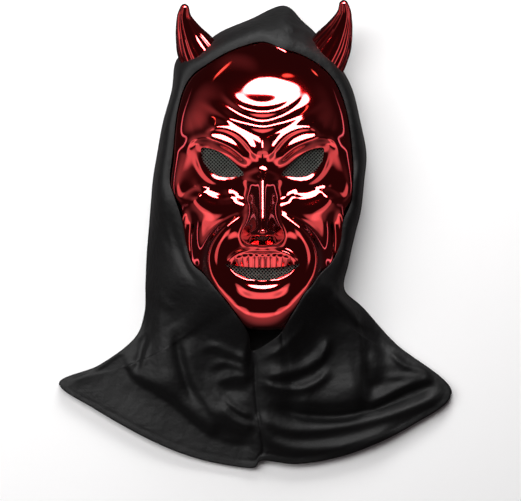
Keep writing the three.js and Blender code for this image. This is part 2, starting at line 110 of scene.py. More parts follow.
def curve_points(points: Points, per_span: int, closed: bool = False) -> Array:
    """Points on a smooth curve through the given ones.

    Args:
        points: what the curve passes, each with two or three coordinates.
        per_span: how many points each span gets.
        closed: whether the curve runs back to its start.

    Returns:
        An array with a row of three coordinates for each point.
    """
    p = np.array([[*q, 0.0][:3] for q in points], float)
    if closed:
        padded = np.vstack([p[-1:], p, p[:2]])
    else:
        padded = np.vstack([2 * p[0] - p[1], p, 2 * p[-1] - p[-2]])
    spans = len(p) if closed else len(p) - 1
    t = (np.arange(per_span) / per_span)[None, :, None]
    a, b, c, d = (padded[k:k + spans, None] for k in range(4))
    line = 0.5 * (2 * b + (c - a) * t + (2 * a - 5 * b + 4 * c - d) * t**2 + (3 * b - a - 3 * c + d) * t**3)
    line = line.reshape(-1, 3)
    return line if closed else np.vstack([line, p[-1:]])


@dataclass(frozen=True)
class Stroke:
    """A rounded ridge drawn along a curve; a negative height makes a valley.

    width is its spread to the left of its direction, and right that to the other side, where it differs.
    fade is the share of its length over which each end dies away. Where end_height is given, the height
    changes from one end to the other. The stroke is left out further than REACH spreads from its curve.
    """

    path: Points
    height: float
    width: float
    right: float | None = None
    fade: float = 0.25
    end_height: float | None = None

    REACH = 4.0
    PER_SPAN = 20

    def rise(self, x: Array, y: Array) -> Array:
        """How high the stroke stands at each place.

        Args:
            x: places across.
            y: places along, in the same shape.

        Returns:
            The heights, in the same shape.
        """
        result = np.zeros_like(x)
        line = curve_points(self.path, self.PER_SPAN)[:, :2]
        right = self.width if self.right is None else self.right
        margin = self.REACH * max(self.width, right)
        low, high = line.min(axis=0) - margin, line.max(axis=0) + margin
        near = (x > low[0]) & (x < high[0]) & (y > low[1]) & (y < high[1])
        if not near.any():
            return result
        px, py = x[near], y[near]
        along = np.diff(line, axis=0)
        length = np.hypot(along[:, 0], along[:, 1])
        passed = np.concatenate([[0.0], np.cumsum(length)])
        best = np.full(px.shape, np.inf)
        side = np.zeros(px.shape)
        share = np.zeros(px.shape)
        for start, step, reach, before in zip(line, along, length, passed):
            dx, dy = px - start[0], py - start[1]
            t = np.clip((dx * step[0] + dy * step[1]) / reach**2, 0.0, 1.0)
            ex, ey = dx - t * step[0], dy - t * step[1]
            distance = ex * ex + ey * ey
            closer = distance < best
            best = np.where(closer, distance, best)
            side = np.where(closer, step[0] * ey - step[1] * ex, side)
            share = np.where(closer, (before + t * reach) / passed[-1], share)
        reach = np.where(side > 0, self.width, right)
        taper = smooth(share / self.fade) * smooth((1 - share) / self.fade) if self.fade > 0 else 1.0
        height = self.height
        if self.end_height is not None:
            height = lerp(self.height, self.end_height, share)
        bump = np.exp(-0.5 * (np.sqrt(best) / reach) ** 2)
        result[near] = height * taper * bump
        return result


@dataclass(frozen=True)
class Boss:
    """A rounded swelling, or a hollow where the height is negative; turn is in degrees."""

    at: tuple[float, float]
    size: tuple[float, float]
    height: float
    turn: float = 0.0

    def rise(self, x: Array, y: Array) -> Array:
        """How high the boss stands at each place.

        Args:
            x: places across.
            y: places along, in the same shape.

        Returns:
            The heights, in the same shape.
        """
        c, s = math.cos(math.radians(self.turn)), math.sin(math.radians(self.turn))
        u = ((x - self.at[0]) * c + (y - self.at[1]) * s) / self.size[0]
        v = ((y - self.at[1]) * c - (x - self.at[0]) * s) / self.size[1]
        return self.height * np.exp(-0.5 * (u * u + v * v))


def total_rise(shapes: Sequence[Stroke | Boss], x: Array, y: Array) -> Array:
    """The sum of the shapes' heights at each place.

    Args:
        shapes: what rises there.
        x: places across.
        y: places along, in the same shape.

    Returns:
        The heights, in the same shape.
    """
    total = np.zeros_like(x)
    for shape in shapes:
        total += shape.rise(x, y)
    return total


def mirrored(points: Points) -> list[list[float]]:
    """An outline's other half: the same points on the other side of the middle, in the opposite order."""
    return [[-p[0], *p[1:]] for p in reversed(points)]


def whole(half: Points) -> list[Sequence[float]]:
    """The whole of a line from side to side, whose half up to the middle is given."""
    return [*half, *mirrored(half[:-1])]


def coordinates(bm: Draft) -> Array:
    """The places of a mesh's vertices, a row for each."""
    return np.array([vert.co[:] for vert in bm.verts])


def place(bm: Draft, points: Array) -> None:
    """Moves a mesh's vertices to points given in millimetres, a row for each vertex."""
    for vert, point in zip(bm.verts, (points * MM).tolist()):
        vert.co = point


def grid(columns: int, rows: int) -> Draft:
    """A flat grid of faces that spans -1 to 1 both ways."""
    bm = bmesh.new()
    bmesh.ops.create_grid(bm, x_segments=columns, y_segments=rows, size=1.0)
    return bm


def finished(name: str, bm: Draft, materials: Sequence[Material]) -> Piece:
    """Turns a mesh under construction into an object at the origin.

    Args:
        name: the object's name.
        bm: the mesh, which is freed.
        materials: what its slots hold.

    Returns:
        The object, linked to the scene.
    """
    mesh = bpy.data.meshes.new(name)
    bm.to_mesh(mesh)
    bm.free()
    for material in materials:
        mesh.materials.append(material)
    mesh.shade_smooth()
    made = bpy.data.objects.new(name, mesh)
    bpy.context.scene.collection.objects.link(made)
    return made


def evaluated(made: Piece) -> None:
    """Applies an object's modifiers to its mesh."""
    graph = bpy.context.evaluated_depsgraph_get()
    mesh = bpy.data.meshes.new_from_object(made.evaluated_get(graph))
    made.modifiers.clear()
    made.data = mesh


def thickened(made: Piece, thickness: float) -> None:
    """Gives a sheet its thickness, on the side away from its normals.

    Args:
        made: the sheet.
        thickness: its thickness in millimetres.
    """
    solidify = made.modifiers.new("thickness", "SOLIDIFY")
    solidify.thickness = thickness * MM
    solidify.offset = -1.0
    evaluated(made)


def raised(bm: Draft, extruded: Sequence[object], height: float) -> None:
    """Moves the vertices of what was extruded up by a height in millimetres, or down if it is negative."""
    verts = [part for part in extruded if isinstance(part, bmesh.types.BMVert)]
    bmesh.ops.translate(bm, verts=verts, vec=(0, 0, height * MM))


class Cut(Enum):
    """How one body changes another."""

    JOIN = "UNION"
    REMOVE = "DIFFERENCE"


def combine(body: Piece, tools: Sequence[tuple[Cut, Piece]]) -> None:
    """Joins bodies to one, or cuts them out of it, and deletes them.

    Args:
        body: the body that changes.
        tools: what to do and the body to do it with, in order.
    """
    for cut, tool in tools:
        boolean = body.modifiers.new(tool.name, "BOOLEAN")
        boolean.operation = cut.value
        boolean.solver = "MANIFOLD"
        boolean.material_mode = "TRANSFER"
        boolean.object = tool
    evaluated(body)
    for _, tool in tools:
        mesh = tool.data
        bpy.data.objects.remove(tool)
        bpy.data.meshes.remove(mesh)


def linear(code: str) -> Colour:
    """The linear colour of an sRGB hex code such as "7f1a20"."""
    parts = [int(code[k:k + 2], 16) / 255 for k in (0, 2, 4)]
    low = [part / 12.92 if part <= 0.04045 else ((part + 0.055) / 1.055) ** 2.4 for part in parts]
    return low[0], low[1], low[2], 1.0


def add_node(
    tree: bpy.types.NodeTree,
    kind: str,
    settings: dict[str, object] | None = None,
    values: dict[str | int, object] | None = None,
    links: dict[str | int, Socket] | None = None,
) -> bpy.types.Node:
    """Adds a node to a tree.

    Args:
        tree: the material's node tree.
        kind: the node's type name.
        settings: the node's own properties.
        values: default values of its inputs, by name or number.
        links: sockets to link to its inputs, by name or number.

    Returns:
        The node.
    """
    made = tree.nodes.new(kind)
    for name, setting in (settings or {}).items():
        setattr(made, name, setting)
    for name, value in (values or {}).items():
        made.inputs[name].default_value = value
    for name, socket in (links or {}).items():
        tree.links.new(socket, made.inputs[name])
    return made


class Shading:
    """A material under construction, its node tree and the patterns that more than one finish has."""

    def __init__(self, name: str) -> None:
        """Starts an empty node material."""
        self.material = bpy.data.materials.new(name)
        self.material.use_nodes = True
        self.tree = self.material.node_tree
        self.tree.nodes.clear()

    @cached_property
    def spot(self) -> Socket:
        """The place on the piece, which the patterns follow."""
        return add_node(self.tree, "ShaderNodeTexCoord").outputs["Object"]

    def mottled(self, patch_mm: float, detail: float, first: str, second: str) -> Socket:
        """A colour that changes softly between two others, from patch to patch.

        Args:
            patch_mm: how far apart the patches lie.
            detail: how many finer patches they carry.
            first: one colour, as an sRGB hex code.
            second: the other one.

        Returns:
            The colour's socket.
        """
        patches = add_node(self.tree, "ShaderNodeTexNoise", links={"Vector": self.spot},
                           values={"Scale": 1 / (patch_mm * MM), "Detail": detail})
        ramp = add_node(self.tree, "ShaderNodeValToRGB", links={"Fac": patches.outputs["Fac"]})
        for stop, code in zip(ramp.color_ramp.elements, (first, second)):
            stop.color = linear(code)
        return ramp.outputs["Color"]

    def uneven(self, wave_mm: float, detail: float, depth_mm: float, strength: float,
               under: Socket | None = None) -> Socket:
        """Small random waves in the surface.

        Args:
            wave_mm: how far apart they are.
            detail: how many finer waves they carry.
            depth_mm: how deep they are.
            strength: how much of that depth counts.
            under: the surface that they lie on, where it isn't the mesh itself.

        Returns:
            The normal's socket.
        """
        waves = add_node(self.tree, "ShaderNodeTexNoise", links={"Vector": self.spot},
                         values={"Scale": 1 / (wave_mm * MM), "Detail": detail})
        links = {"Height": waves.outputs["Fac"]}
        if under is not None:
            links["Normal"] = under
        bump = add_node(self.tree, "ShaderNodeBump", links=links,
                        values={"Distance": depth_mm * MM, "Strength": strength})
        return bump.outputs["Normal"]

    def finish(self, values: dict[str, object], links: dict[str, Socket] | None = None) -> Material:
        """Puts the shader on.

        Args:
            values: what its sockets are set to, by name.
            links: what is linked to its sockets, by name.

        Returns:
            The finished material.
        """
        shader = add_node(self.tree, "ShaderNodeBsdfPrincipled", values=values, links=links)
        add_node(self.tree, "ShaderNodeOutputMaterial", links={"Surface": shader.outputs["BSDF"]})
        return self.material


@dataclass(frozen=True)
class MetallisedPlastic:
    """Moulded polystyrene, vacuum-metallised and lacquered clear red.

    The aluminium film mirrors the studio, the lacquer tints what it mirrors deep red, and the lacquer's own
    gloss puts white highlights on top. The moulding under the film is a little wavy, which the film shows.
    """

    name: str = "metallised_polystyrene"
    tint: str = "c01012"
    deep_tint: str = "a40c10"
    roughness: float = 0.06
    coat: float = 1.0
    coat_roughness: float = 0.03
    tint_patch_mm: float = 35.0
    wave_mm: float = 14.0
    wave_depth_mm: float = 0.035

    def build(self) -> Material:
        """The material."""
        shading = Shading(self.name)
        tint = shading.mottled(self.tint_patch_mm, 2.0, self.deep_tint, self.tint)
        normal = shading.uneven(self.wave_mm, 1.0, self.wave_depth_mm, 1.0)
        return shading.finish({"Metallic": 1.0, "Roughness": self.roughness, "Coat Weight": self.coat,
                               "Coat Roughness": self.coat_roughness},
                              {"Base Color": tint, "Normal": normal})


@dataclass(frozen=True)
class BarePlastic:
    """Moulded polystyrene as it leaves the mould: the mask's inside, dull dark red with a fine haze."""

    name: str = "moulded_polystyrene"
    colour: str = "4a0b10"
    light_colour: str = "5c1015"
    roughness: float = 0.42
    haze_mm: float = 9.0

    def build(self) -> Material:
        """The material."""
        shading = Shading(self.name)
        colour = shading.mottled(self.haze_mm, 4.0, self.colour, self.light_colour)
        return shading.finish({"Roughness": self.roughness}, {"Base Color": colour})


@dataclass(frozen=True)
class PunchedGauze:
    """Black polyester gauze with punched holes; its coated yarn looks grey-green against the dark."""

    name: str = "punched_polyester_gauze"
    colour: str = "1d201e"
    light_colour: str = "555d56"
    roughness: float = 0.7
    sheen: float = 0.3
    yarn_mm: float = 0.5
    yarn_depth_mm: float = 0.1
    yarn_strength: float = 0.6
    patch_mm: float = 12.0

    def build(self) -> Material:
        """The material."""
        shading = Shading(self.name)
        colour = shading.mottled(self.patch_mm, 3.0, self.colour, self.light_colour)
        normal = shading.uneven(self.yarn_mm, 1.0, self.yarn_depth_mm, self.yarn_strength)
        return shading.finish({"Roughness": self.roughness, "Sheen Weight": self.sheen},
                              {"Base Color": colour, "Normal": normal})


@dataclass(frozen=True)
class BlackSatin:
    """Black polyester satin: long floats of yarn give a soft directional sheen on every fold.

    The yarn's real spacing of about 0.2 mm is too fine to show, so the weave is drawn at thread_mm.
    """

    name: str = "black_polyester_satin"
    colour: str = "050506"
    light_colour: str = "0c0c0c"
    roughness: float = 0.57
    gloss: float = 0.3
    sheen: float = 0.03
    sheen_roughness: float = 0.4
    patch_mm: float = 100 / 3
    thread_mm: float = 1.3
    thread_waver: float = 1.5
    thread_depth_mm: float = 0.05
    thread_strength: float = 0.5
    crinkle_mm: float = 8.0
    crinkle_depth_mm: float = 1.1
    crinkle_strength: float = 0.7

    def build(self) -> Material:
        """The material."""
        shading = Shading(self.name)
        tree = shading.tree
        colour = shading.mottled(self.patch_mm, 3.0, self.colour, self.light_colour)
        thread = add_node(tree, "ShaderNodeTexWave", {"wave_type": "BANDS", "bands_direction": "DIAGONAL"},
                          {"Scale": 1 / (self.thread_mm * MM) / math.pi, "Distortion": self.thread_waver,
                           "Detail": 1.0}, {"Vector": shading.spot})
        weave = add_node(tree, "ShaderNodeBump",
                         values={"Distance": self.thread_depth_mm * MM, "Strength": self.thread_strength},
                         links={"Height": thread.outputs["Fac"]})
        normal = shading.uneven(self.crinkle_mm, 3.0, self.crinkle_depth_mm, self.crinkle_strength,
                                weave.outputs["Normal"])
        return shading.finish({"Roughness": self.roughness, "Sheen Weight": self.sheen,
                               "Sheen Roughness": self.sheen_roughness, "Specular IOR Level": self.gloss},
                              {"Base Color": colour, "Normal": normal})


@dataclass(frozen=True)
class PaperSweep:
    """Seamless studio paper: matt, nearly white."""

    name: str = "studio_paper"
    colour: str = "f2f2f2"
    roughness: float = 0.9

    def build(self) -> Material:
        """The material."""
        return Shading(self.name).finish({"Base Color": linear(self.colour), "Roughness": self.roughness})


class LightUse(Enum):
    """Whether a light is set for the mirror finish, or for the cloth, the gauze and the floor."""

    MIRRORED = "mirrored"
    SPREAD = "spread"


def lit_for(use: LightUse) -> bpy.types.Collection:
    """The collection of the pieces that the lights of one use light."""
    return bpy.data.collections.get(use.value) or bpy.data.collections.new(use.value)


class LightShape(Enum):
    """The outline of a soft light."""

    RECTANGLE = "RECTANGLE"
    OVAL = "ELLIPSE"


@dataclass(frozen=True)
class Softbox:
    """One soft light: where it hangs as seen from the mask, its half angles in degrees and its brightness.

    distance is in metres. fade is the share of its half width over which it dims towards its edge, as a
    real softbox does.
    """

    name: str
    towards: tuple[float, float, float]
    half_angles: tuple[float, float]
    radiance: float
    colour: str = "ffffff"
    distance: float = 1.6
    use: LightUse = LightUse.MIRRORED
    shape: LightShape = LightShape.OVAL
    fade: float = 0.7

    POWER_PER_RADIANCE = 4.0

    def grade(self, lamp: bpy.types.AreaLight) -> None:
        """Dims the light from its middle towards its edge.

        Args:
            lamp: the light.
        """
        lamp.use_nodes = True
        tree = lamp.node_tree
        spot = add_node(tree, "ShaderNodeNewGeometry").outputs["Parametric"]
        middle = (0.5, 0.5, 0.0)
        offset = add_node(tree, "ShaderNodeVectorMath", {"operation": "SUBTRACT"}, {1: middle}, {0: spot})
        away = add_node(tree, "ShaderNodeVectorMath", {"operation": "LENGTH"},
                        links={0: offset.outputs["Vector"]})
        dimmed = add_node(tree, "ShaderNodeMapRange", {"interpolation_type": "SMOOTHSTEP"},
                          {"From Min": middle[0], "From Max": middle[0] * (1 - self.fade)},
                          {"Value": away.outputs["Value"]})
        tree.links.new(dimmed.outputs["Result"], tree.nodes["Emission"].inputs["Strength"])

    def hang(self, target: Vector) -> None:
        """Makes the light, turned to the target.

        Args:
            target: the point that it is aimed at, in metres.
        """
        size, size_y = (2 * self.distance * math.tan(math.radians(half)) for half in self.half_angles)
        lamp = bpy.data.lights.new(self.name, "AREA")
        lamp.shape = self.shape.value
        lamp.size, lamp.size_y = size, size_y
        lamp.energy = self.radiance * self.POWER_PER_RADIANCE * size * size_y
        lamp.color = linear(self.colour)[:3]
        if self.fade > 0:
            self.grade(lamp)
        made = bpy.data.objects.new(self.name, lamp)
        direction = Vector(self.towards).normalized()
        made.location = target + direction * self.distance
        across = Vector((0.0, 1.0, 0.0)).cross(direction).normalized()
        made.rotation_euler = Matrix((across, direction.cross(across), direction)).transposed().to_euler()
        made.visible_diffuse = self.use is LightUse.SPREAD
        made.light_linking.receiver_collection = lit_for(self.use)
        bpy.context.scene.collection.objects.link(made)


@dataclass
class Studio:
    """Camera, lights, surroundings and floor. Lengths are metres.

    Column middle_column and row eye_row of the photograph lie over the frame's origin, and mm_per_pixel
    holds at seen_height. The lights are aimed at lit_height over the origin.
    """

    photo_width: float = 521
    photo_height: float = 501
    middle_column: float = 262.5
    eye_row: float = 190
    mm_per_pixel: float = 0.9
    seen_height: float = 0.04
    camera_distance: float = 2.4
    sensor: float = 36.0
    floor_size: float = 12.0
    lit_height: float = 0.07
    surroundings: str = "372e30"
    surroundings_strength: float = 1.0
    backdrop: str = "f4f4f4"
    softboxes: tuple[Softbox, ...] = (
        Softbox("key", (0.10, 0.52, 0.85), (32, 13), 20.0, fade=0.1),
        Softbox("fill_low", (0.0, -0.83, 0.55), (48, 17), 1.05, distance=1.0),
        Softbox("fill_left", (-0.74, -0.42, 0.53), (15, 32), 0.9, distance=1.3, fade=0.5),
        Softbox("fill_right", (0.74, -0.42, 0.53), (15, 32), 0.8, distance=1.3, fade=0.5),
        Softbox("strip_left", (-0.98, 0.05, -0.05), (2.5, 30), 1.6, colour="e8dcf0"),
        Softbox("strip_right", (0.98, 0.05, -0.05), (2.5, 30), 1.6, colour="e8dcf0"),
        Softbox("room_left", (-0.85, 0.2, 0.5), (32, 30), 0.3, fade=1.0),
        Softbox("room_low", (0.0, -0.9, 0.3), (70, 35), 0.3, distance=1.0, fade=1.0),
        Softbox("room_top", (-0.35, 0.85, 0.35), (26, 14), 0.06, fade=1.0),
        Softbox("room_right", (0.85, 0.3, 0.45), (20, 24), 0.05, fade=1.0),
        Softbox("lamp_left", (-0.55, 0.75, 0.37), (2.0, 10), 2.6, colour="ffc8a8"),
        Softbox("lamp_top", (0.42, 0.64, 0.55), (3.5, 3), 3.6, colour="ffb090", shape=LightShape.RECTANGLE),
        Softbox("lamp_right", (0.66, 0.73, 0.2), (2, 4), 2.4, colour="ffc8a8"),
        Softbox("cloth_key", (-0.22, 0.34, 0.92), (30, 18), 3.8, use=LightUse.SPREAD),
        Softbox("cloth_top", (0.1, 0.9, 0.42), (30, 16), 9.0, use=LightUse.SPREAD),
        Softbox("cloth_side", (-0.75, 0.1, 0.65), (24, 30), 2.6, use=LightUse.SPREAD),
        Softbox("overhead", (-0.2, 0.3, 0.9), (40, 40), 0.4, use=LightUse.SPREAD),
    )

    def camera(self) -> None:
        """Looks straight down, framed as the photograph is."""
        scene = bpy.context.scene
        seen = self.photo_width * self.mm_per_pixel * MM
        x = (self.photo_width / 2 - self.middle_column) * self.mm_per_pixel * MM
        y = (self.eye_row - self.photo_height / 2) * self.mm_per_pixel * MM
        data = bpy.data.cameras.new("camera")
        data.sensor_width = self.sensor
        data.lens = self.sensor * self.camera_distance / seen
        data.clip_start = self.camera_distance / 10
        data.clip_end = self.floor_size * 2
        made = bpy.data.objects.new("camera", data)
        made.location = (x, y, self.seen_height + self.camera_distance)
        scene.collection.objects.link(made)
        scene.camera = made

    def lights(self) -> None:
        """Hangs the softboxes over the face."""
        target = Vector((0.0, 0.0, self.lit_height))
        for softbox in self.softboxes:
            softbox.hang(target)

    def world(self) -> None:
        """A dim room all round, which the camera itself sees as a pale backdrop."""
        world = bpy.data.worlds.new("studio")
        world.use_nodes = True
        tree = world.node_tree
        tree.nodes.clear()
        room = add_node(tree, "ShaderNodeBackground",
                        values={"Color": linear(self.surroundings), "Strength": self.surroundings_strength})
        backdrop = add_node(tree, "ShaderNodeBackground", values={"Color": linear(self.backdrop)})
        path = add_node(tree, "ShaderNodeLightPath")
        mix = add_node(tree, "ShaderNodeMixShader", links={
            0: path.outputs["Is Camera Ray"], 1: room.outputs[0], 2: backdrop.outputs[0]})
        add_node(tree, "ShaderNodeOutputWorld", links={"Surface": mix.outputs[0]})
        bpy.context.scene.world = world

    def floor(self) -> None:
        """The sheet of paper that the mask lies on."""
        bm = grid(1, 1)
        place(bm, coordinates(bm) * self.floor_size / 2 / MM)
        paper = finished("floor", bm, [PaperSweep().build()])
        paper.visible_glossy = False
        lit_for(LightUse.SPREAD).objects.link(paper)

    def build(self) -> None:
        """Makes all of it."""
        bpy.context.scene.view_settings.view_transform = "Standard"
        self.camera()
        self.lights()
        self.world()
        self.floor()


class Relief:
    """What is carved on the face, besides its main rounding.

    Furrows and mouth are drawn from side to side. What SIDES holds is drawn on the side with positive X,
    and the other side mirrors it.
    """

    FURROWS: tuple[Stroke | Boss, ...] = (
        Stroke([(-7, 131.2), (0, 131.7), (8, 130.3), (16, 126.5), (25, 121.8)], 1.2, 0.8, 0.8, 0.2),
        Stroke(whole([(-38, 90), (-29, 79.5), (-19, 72), (-9, 68.3), (0, 67.3)]), 3.0, 3.6, 2.4, 0.5),
        Stroke(whole([(-60, 82), (-46, 73.5), (-31, 64.5), (-16, 58), (0, 54)]), 3.2, 3.6, 2.6, 0.5),
    )
    MOUTH: tuple[Stroke | Boss, ...] = (
        Stroke(whole([(-32, -67), (-29, -62), (-22, -57), (-12, -54.5), (0, -55)]), 1.8, 1.6, 1.2, 0.12),
        Stroke(whole([(-31, -68), (-28, -75), (-21, -83.5), (-12, -88.5), (0, -90)]), 1.9, 3.0, 3.4, 0.34),
        Stroke(whole([(-30, -90), (-14, -98), (0, -99.5)]), -1.5, 3, 5.5, 0.3),
    )
    BROWS: tuple[Stroke | Boss, ...] = (
        Boss((2, 94), (15, 18), 3.0),
        Stroke([(4, 20), (14, 29), (28, 38), (44, 42), (60, 39)], 4.0, 14, 5, 0.25),
        Stroke([(1, 20), (5, 29), (11, 37.5), (17, 44.5), (24, 50), (34, 54), (44, 54.5), (54, 52)],
               4.0, 6.0, 2.6, 0.2),
        Stroke([(10, 20), (17, 27.5), (29, 37.5), (44, 44.5), (56, 45.5), (65, 41), (70, 31)],
               3.2, 5.0, 2.4, 0.18),
    )
    EYES: tuple[Stroke | Boss, ...] = (
        Boss((38, 23.5), (21, 12), -3, -24),
        Stroke([(14, 10.5), (20, 7.8), (30, 6), (42, 7.2), (51, 14), (56.5, 25), (58, 36)], 1.4, 3.4, 2.2),
        Stroke([(15, -2), (26, -7), (36, -8.5), (47, -5.5), (56, 1.5), (63, 10)], 0.6, 2.0, 1.8, 0.3),
        Stroke([(15, -8), (23, -13.5), (33, -17.5), (43, -18.5), (54, -15.5), (61, -9), (66, 0)],
               5.6, 8.5, 7.5, 0.2),
    )
    CHEEKS: tuple[Stroke | Boss, ...] = (
        Boss((80, 2), (7, 12), 4),
        Stroke([(6, -18), (13, -22.5), (20, -26), (28, -31), (36.5, -38), (44, -49), (47.5, -61), (46, -75),
                (40, -88), (32, -101), (24, -114)], 9.0, 3.6, 7.0, 0.28),
        Stroke([(16, -26), (24, -32), (32, -41), (38, -51), (40, -62), (38, -74)], -0.5, 1.3, 1.3, 0.3),
        Stroke([(62, -18), (65, -34), (65, -52), (61, -68)], -5, 4.5, 4.5, 0.3),
        Stroke([(70, -14), (73, -34), (72, -52), (67, -68)], 4, 3.5, 3.5, 0.3),
    )
    NOSE: tuple[Stroke | Boss, ...] = (
        Stroke([(0, 28), (0, 14), (0, 0), (0, -20), (0, -40)], 1.5, 8.0, fade=0, end_height=20.5),
        Stroke([(0, 20), (0, 8), (0, -12), (0, -30)], 2.2, 2.6, fade=0.2),
        Stroke([(0, 16), (0, -10), (0, -30), (0, -46)], 3, 12, fade=0.15, end_height=9),
        Boss((0, -36), (6.5, 6.5), 4),
        Boss((11.5, -41), (4.2, 5), 6.5),
        Stroke([(11, 8), (14, -4), (17, -14)], -2, 4.5, 4.5, 0.35),
    )
    JAW: tuple[Stroke | Boss, ...] = (
        Boss((0, -62), (30, 18), 5),
        Boss((0, -108), (19, 12), 3),
    )
    MIDDLE = (*FURROWS, *MOUTH)
    SIDES = (*BROWS, *EYES, *CHEEKS, *NOSE, *JAW)

    GUM_LINE: Points = ((0, -57.5), (12, -57.5), (22, -59.5), (28, -63.5), (33, -67))
    BITE_LINE: Points = ((0, -70.5), (12, -70.0), (23, -68.6), (33, -67.0))
    TEETH_HALF_SPAN = 29.0
    TEETH_END_FADE = 4.0
    TEETH_DEPTH = 6.0
    TEETH_FOOT = 1.9
    TEETH_FOOT_FADE = 0.6
    SHORTEST_TOOTH = 0.1
    TOOTH_PITCH = 5.4
    TOOTH_ROUND = 1.3
    TOOTH_SQUARENESS = 0.6
    TOOTH_TIP = 1.15
    TOOTH_EDGE = 0.15

    @classmethod
    def teeth(cls, x: Array, y: Array) -> Array:
        """The upper row of teeth, which slopes back from the lip to the mouth's opening.

        Args:
            x: places across.
            y: places along, in the same shape.

        Returns:
            The depth below the lip, less each tooth's rounding.
        """
        side = np.abs(x)
        gum, bite = (monotone(line)(side) for line in (cls.GUM_LINE, cls.BITE_LINE))
        down = (gum - y) / np.maximum(gum - bite, cls.SHORTEST_TOOTH)
        ends = smooth((cls.TEETH_HALF_SPAN - side) / cls.TEETH_END_FADE) * (y < gum)
        ends = ends * smooth((cls.TEETH_FOOT - down) / cls.TEETH_FOOT_FADE)
        tooth = np.abs(np.cos(math.pi * x / cls.TOOTH_PITCH)) ** cls.TOOTH_SQUARENESS
        tooth = cls.TOOTH_ROUND * tooth * smooth(down / cls.TOOTH_EDGE)
        return ends * (tooth * smooth((cls.TOOTH_TIP - down) / cls.TOOTH_EDGE)
                       - cls.TEETH_DEPTH * np.clip(down, 0, 1))

    @classmethod
    def rise(cls, x: Array, y: Array) -> Array:
        """How high the carving stands at each place."""
        return total_rise(cls.MIDDLE, x, y) + total_rise(cls.SIDES, np.abs(x), y) + cls.teeth(x, y)


@dataclass
class Face:
    """The face's skins. Stations run down the face: place on Y, then the value there.

    The half widths give its outline, the crown heights its ridge and the section exponents how full it is
    beside the ridge. A larger roundness makes an end slope earlier. rim_fade is the share of the width and
    of the length, at each rim, over which the carving dies away.
    """

    top: float = 142.0
    chin: float = -128.0
    middle: float = 10.0
    rim_height: float = 4.0
    top_roundness: float = 0.5
    chin_roundness: float = 0.22
    rim_fade: float = 0.04
    half_widths: Points = (
        (142, 30), (135, 46), (125, 58), (113, 67), (100, 75), (85, 80), (67, 84), (50, 85.5),
        (30, 86.5), (14, 87.5), (4, 88), (-6, 87), (-14, 84), (-24, 80.5), (-40, 78.5), (-54, 76),
        (-65, 73), (-75, 67.5), (-86, 57.5), (-103, 44), (-119, 31), (-128, 23))
    crown_heights: Points = (
        (142, 84), (100, 83), (70, 82), (45, 79), (20, 75), (0, 71.5),
        (-25, 68.5), (-60, 71), (-90, 74), (-110, 76), (-128, 74))
    section_exponents: Points = (
        (142, 0.75), (100, 0.62), (60, 0.52), (30, 0.46), (0, 0.42),
        (-30, 0.42), (-60, 0.46), (-90, 0.52), (-128, 0.5))
    half_width: Curve = field(init=False)
    crown: Curve = field(init=False)
    exponent: Curve = field(init=False)

    def __post_init__(self) -> None:
        """Makes the smooth functions through the stations."""
        self.half_width = monotone(self.half_widths)
        self.crown = monotone(self.crown_heights)
        self.exponent = monotone(self.section_exponents)

    def skin(self, across: Array, down: Array, inset: float, rise: Array) -> Array:
        """Points of a skin.

        Args:
            across: shares of the half width, from -1 to 1.
            down: shares of the length from the middle, -1 at the chin and 1 at the crown.
            inset: distance inside the outer skin.
            rise: height of the carving at each point.

        Returns:
            An array with a row for each point.
        """
        reach = np.where(down > 0, self.top - self.middle, self.middle - self.chin)
        y = self.middle + down * reach
        half = self.half_width(y)
        roundness = np.where(down > 0, self.top_roundness, self.chin_roundness)
        end = np.sqrt(np.maximum(0, 1 - down**2)) ** roundness
        section = np.sqrt(np.maximum(0, 1 - across**2)) ** self.exponent(y)
        rim = smooth((1 - np.abs(across)) / self.rim_fade) * smooth((1 - np.abs(down)) / self.rim_fade)
        z = self.rim_height + (self.crown(y) - inset - self.rim_height) * end * section + rim * rise
        return np.stack([(half - inset) * across, self.middle + down * (reach - inset), z], axis=-1)

    def plan(self, across: Array, down: Array) -> tuple[Array, Array]:
        """The places on X and Y of points on the outer skin."""
        y = self.middle + down * np.where(down > 0, self.top - self.middle, self.middle - self.chin)
        return self.half_width(y) * across, y

    def height(self, x: Array, y: Array) -> Array:
        """The outer skin's height.

        Args:
            x: places across.
            y: places along, in the same shape.

        Returns:
            The heights, in the same shape, and 0 outside the face.
        """
        reach = np.where(y > self.middle, self.top - self.middle, self.middle - self.chin)
        down = (y - self.middle) / reach
        across = x / self.half_width(y)
        inside = (np.abs(down) < 1) & (np.abs(across) < 1)
        held = (np.clip(across, -1, 1), np.clip(down, -1, 1))
        return np.where(inside, self.skin(*held, 0.0, Relief.rise(x, y))[..., 2], 0.0)


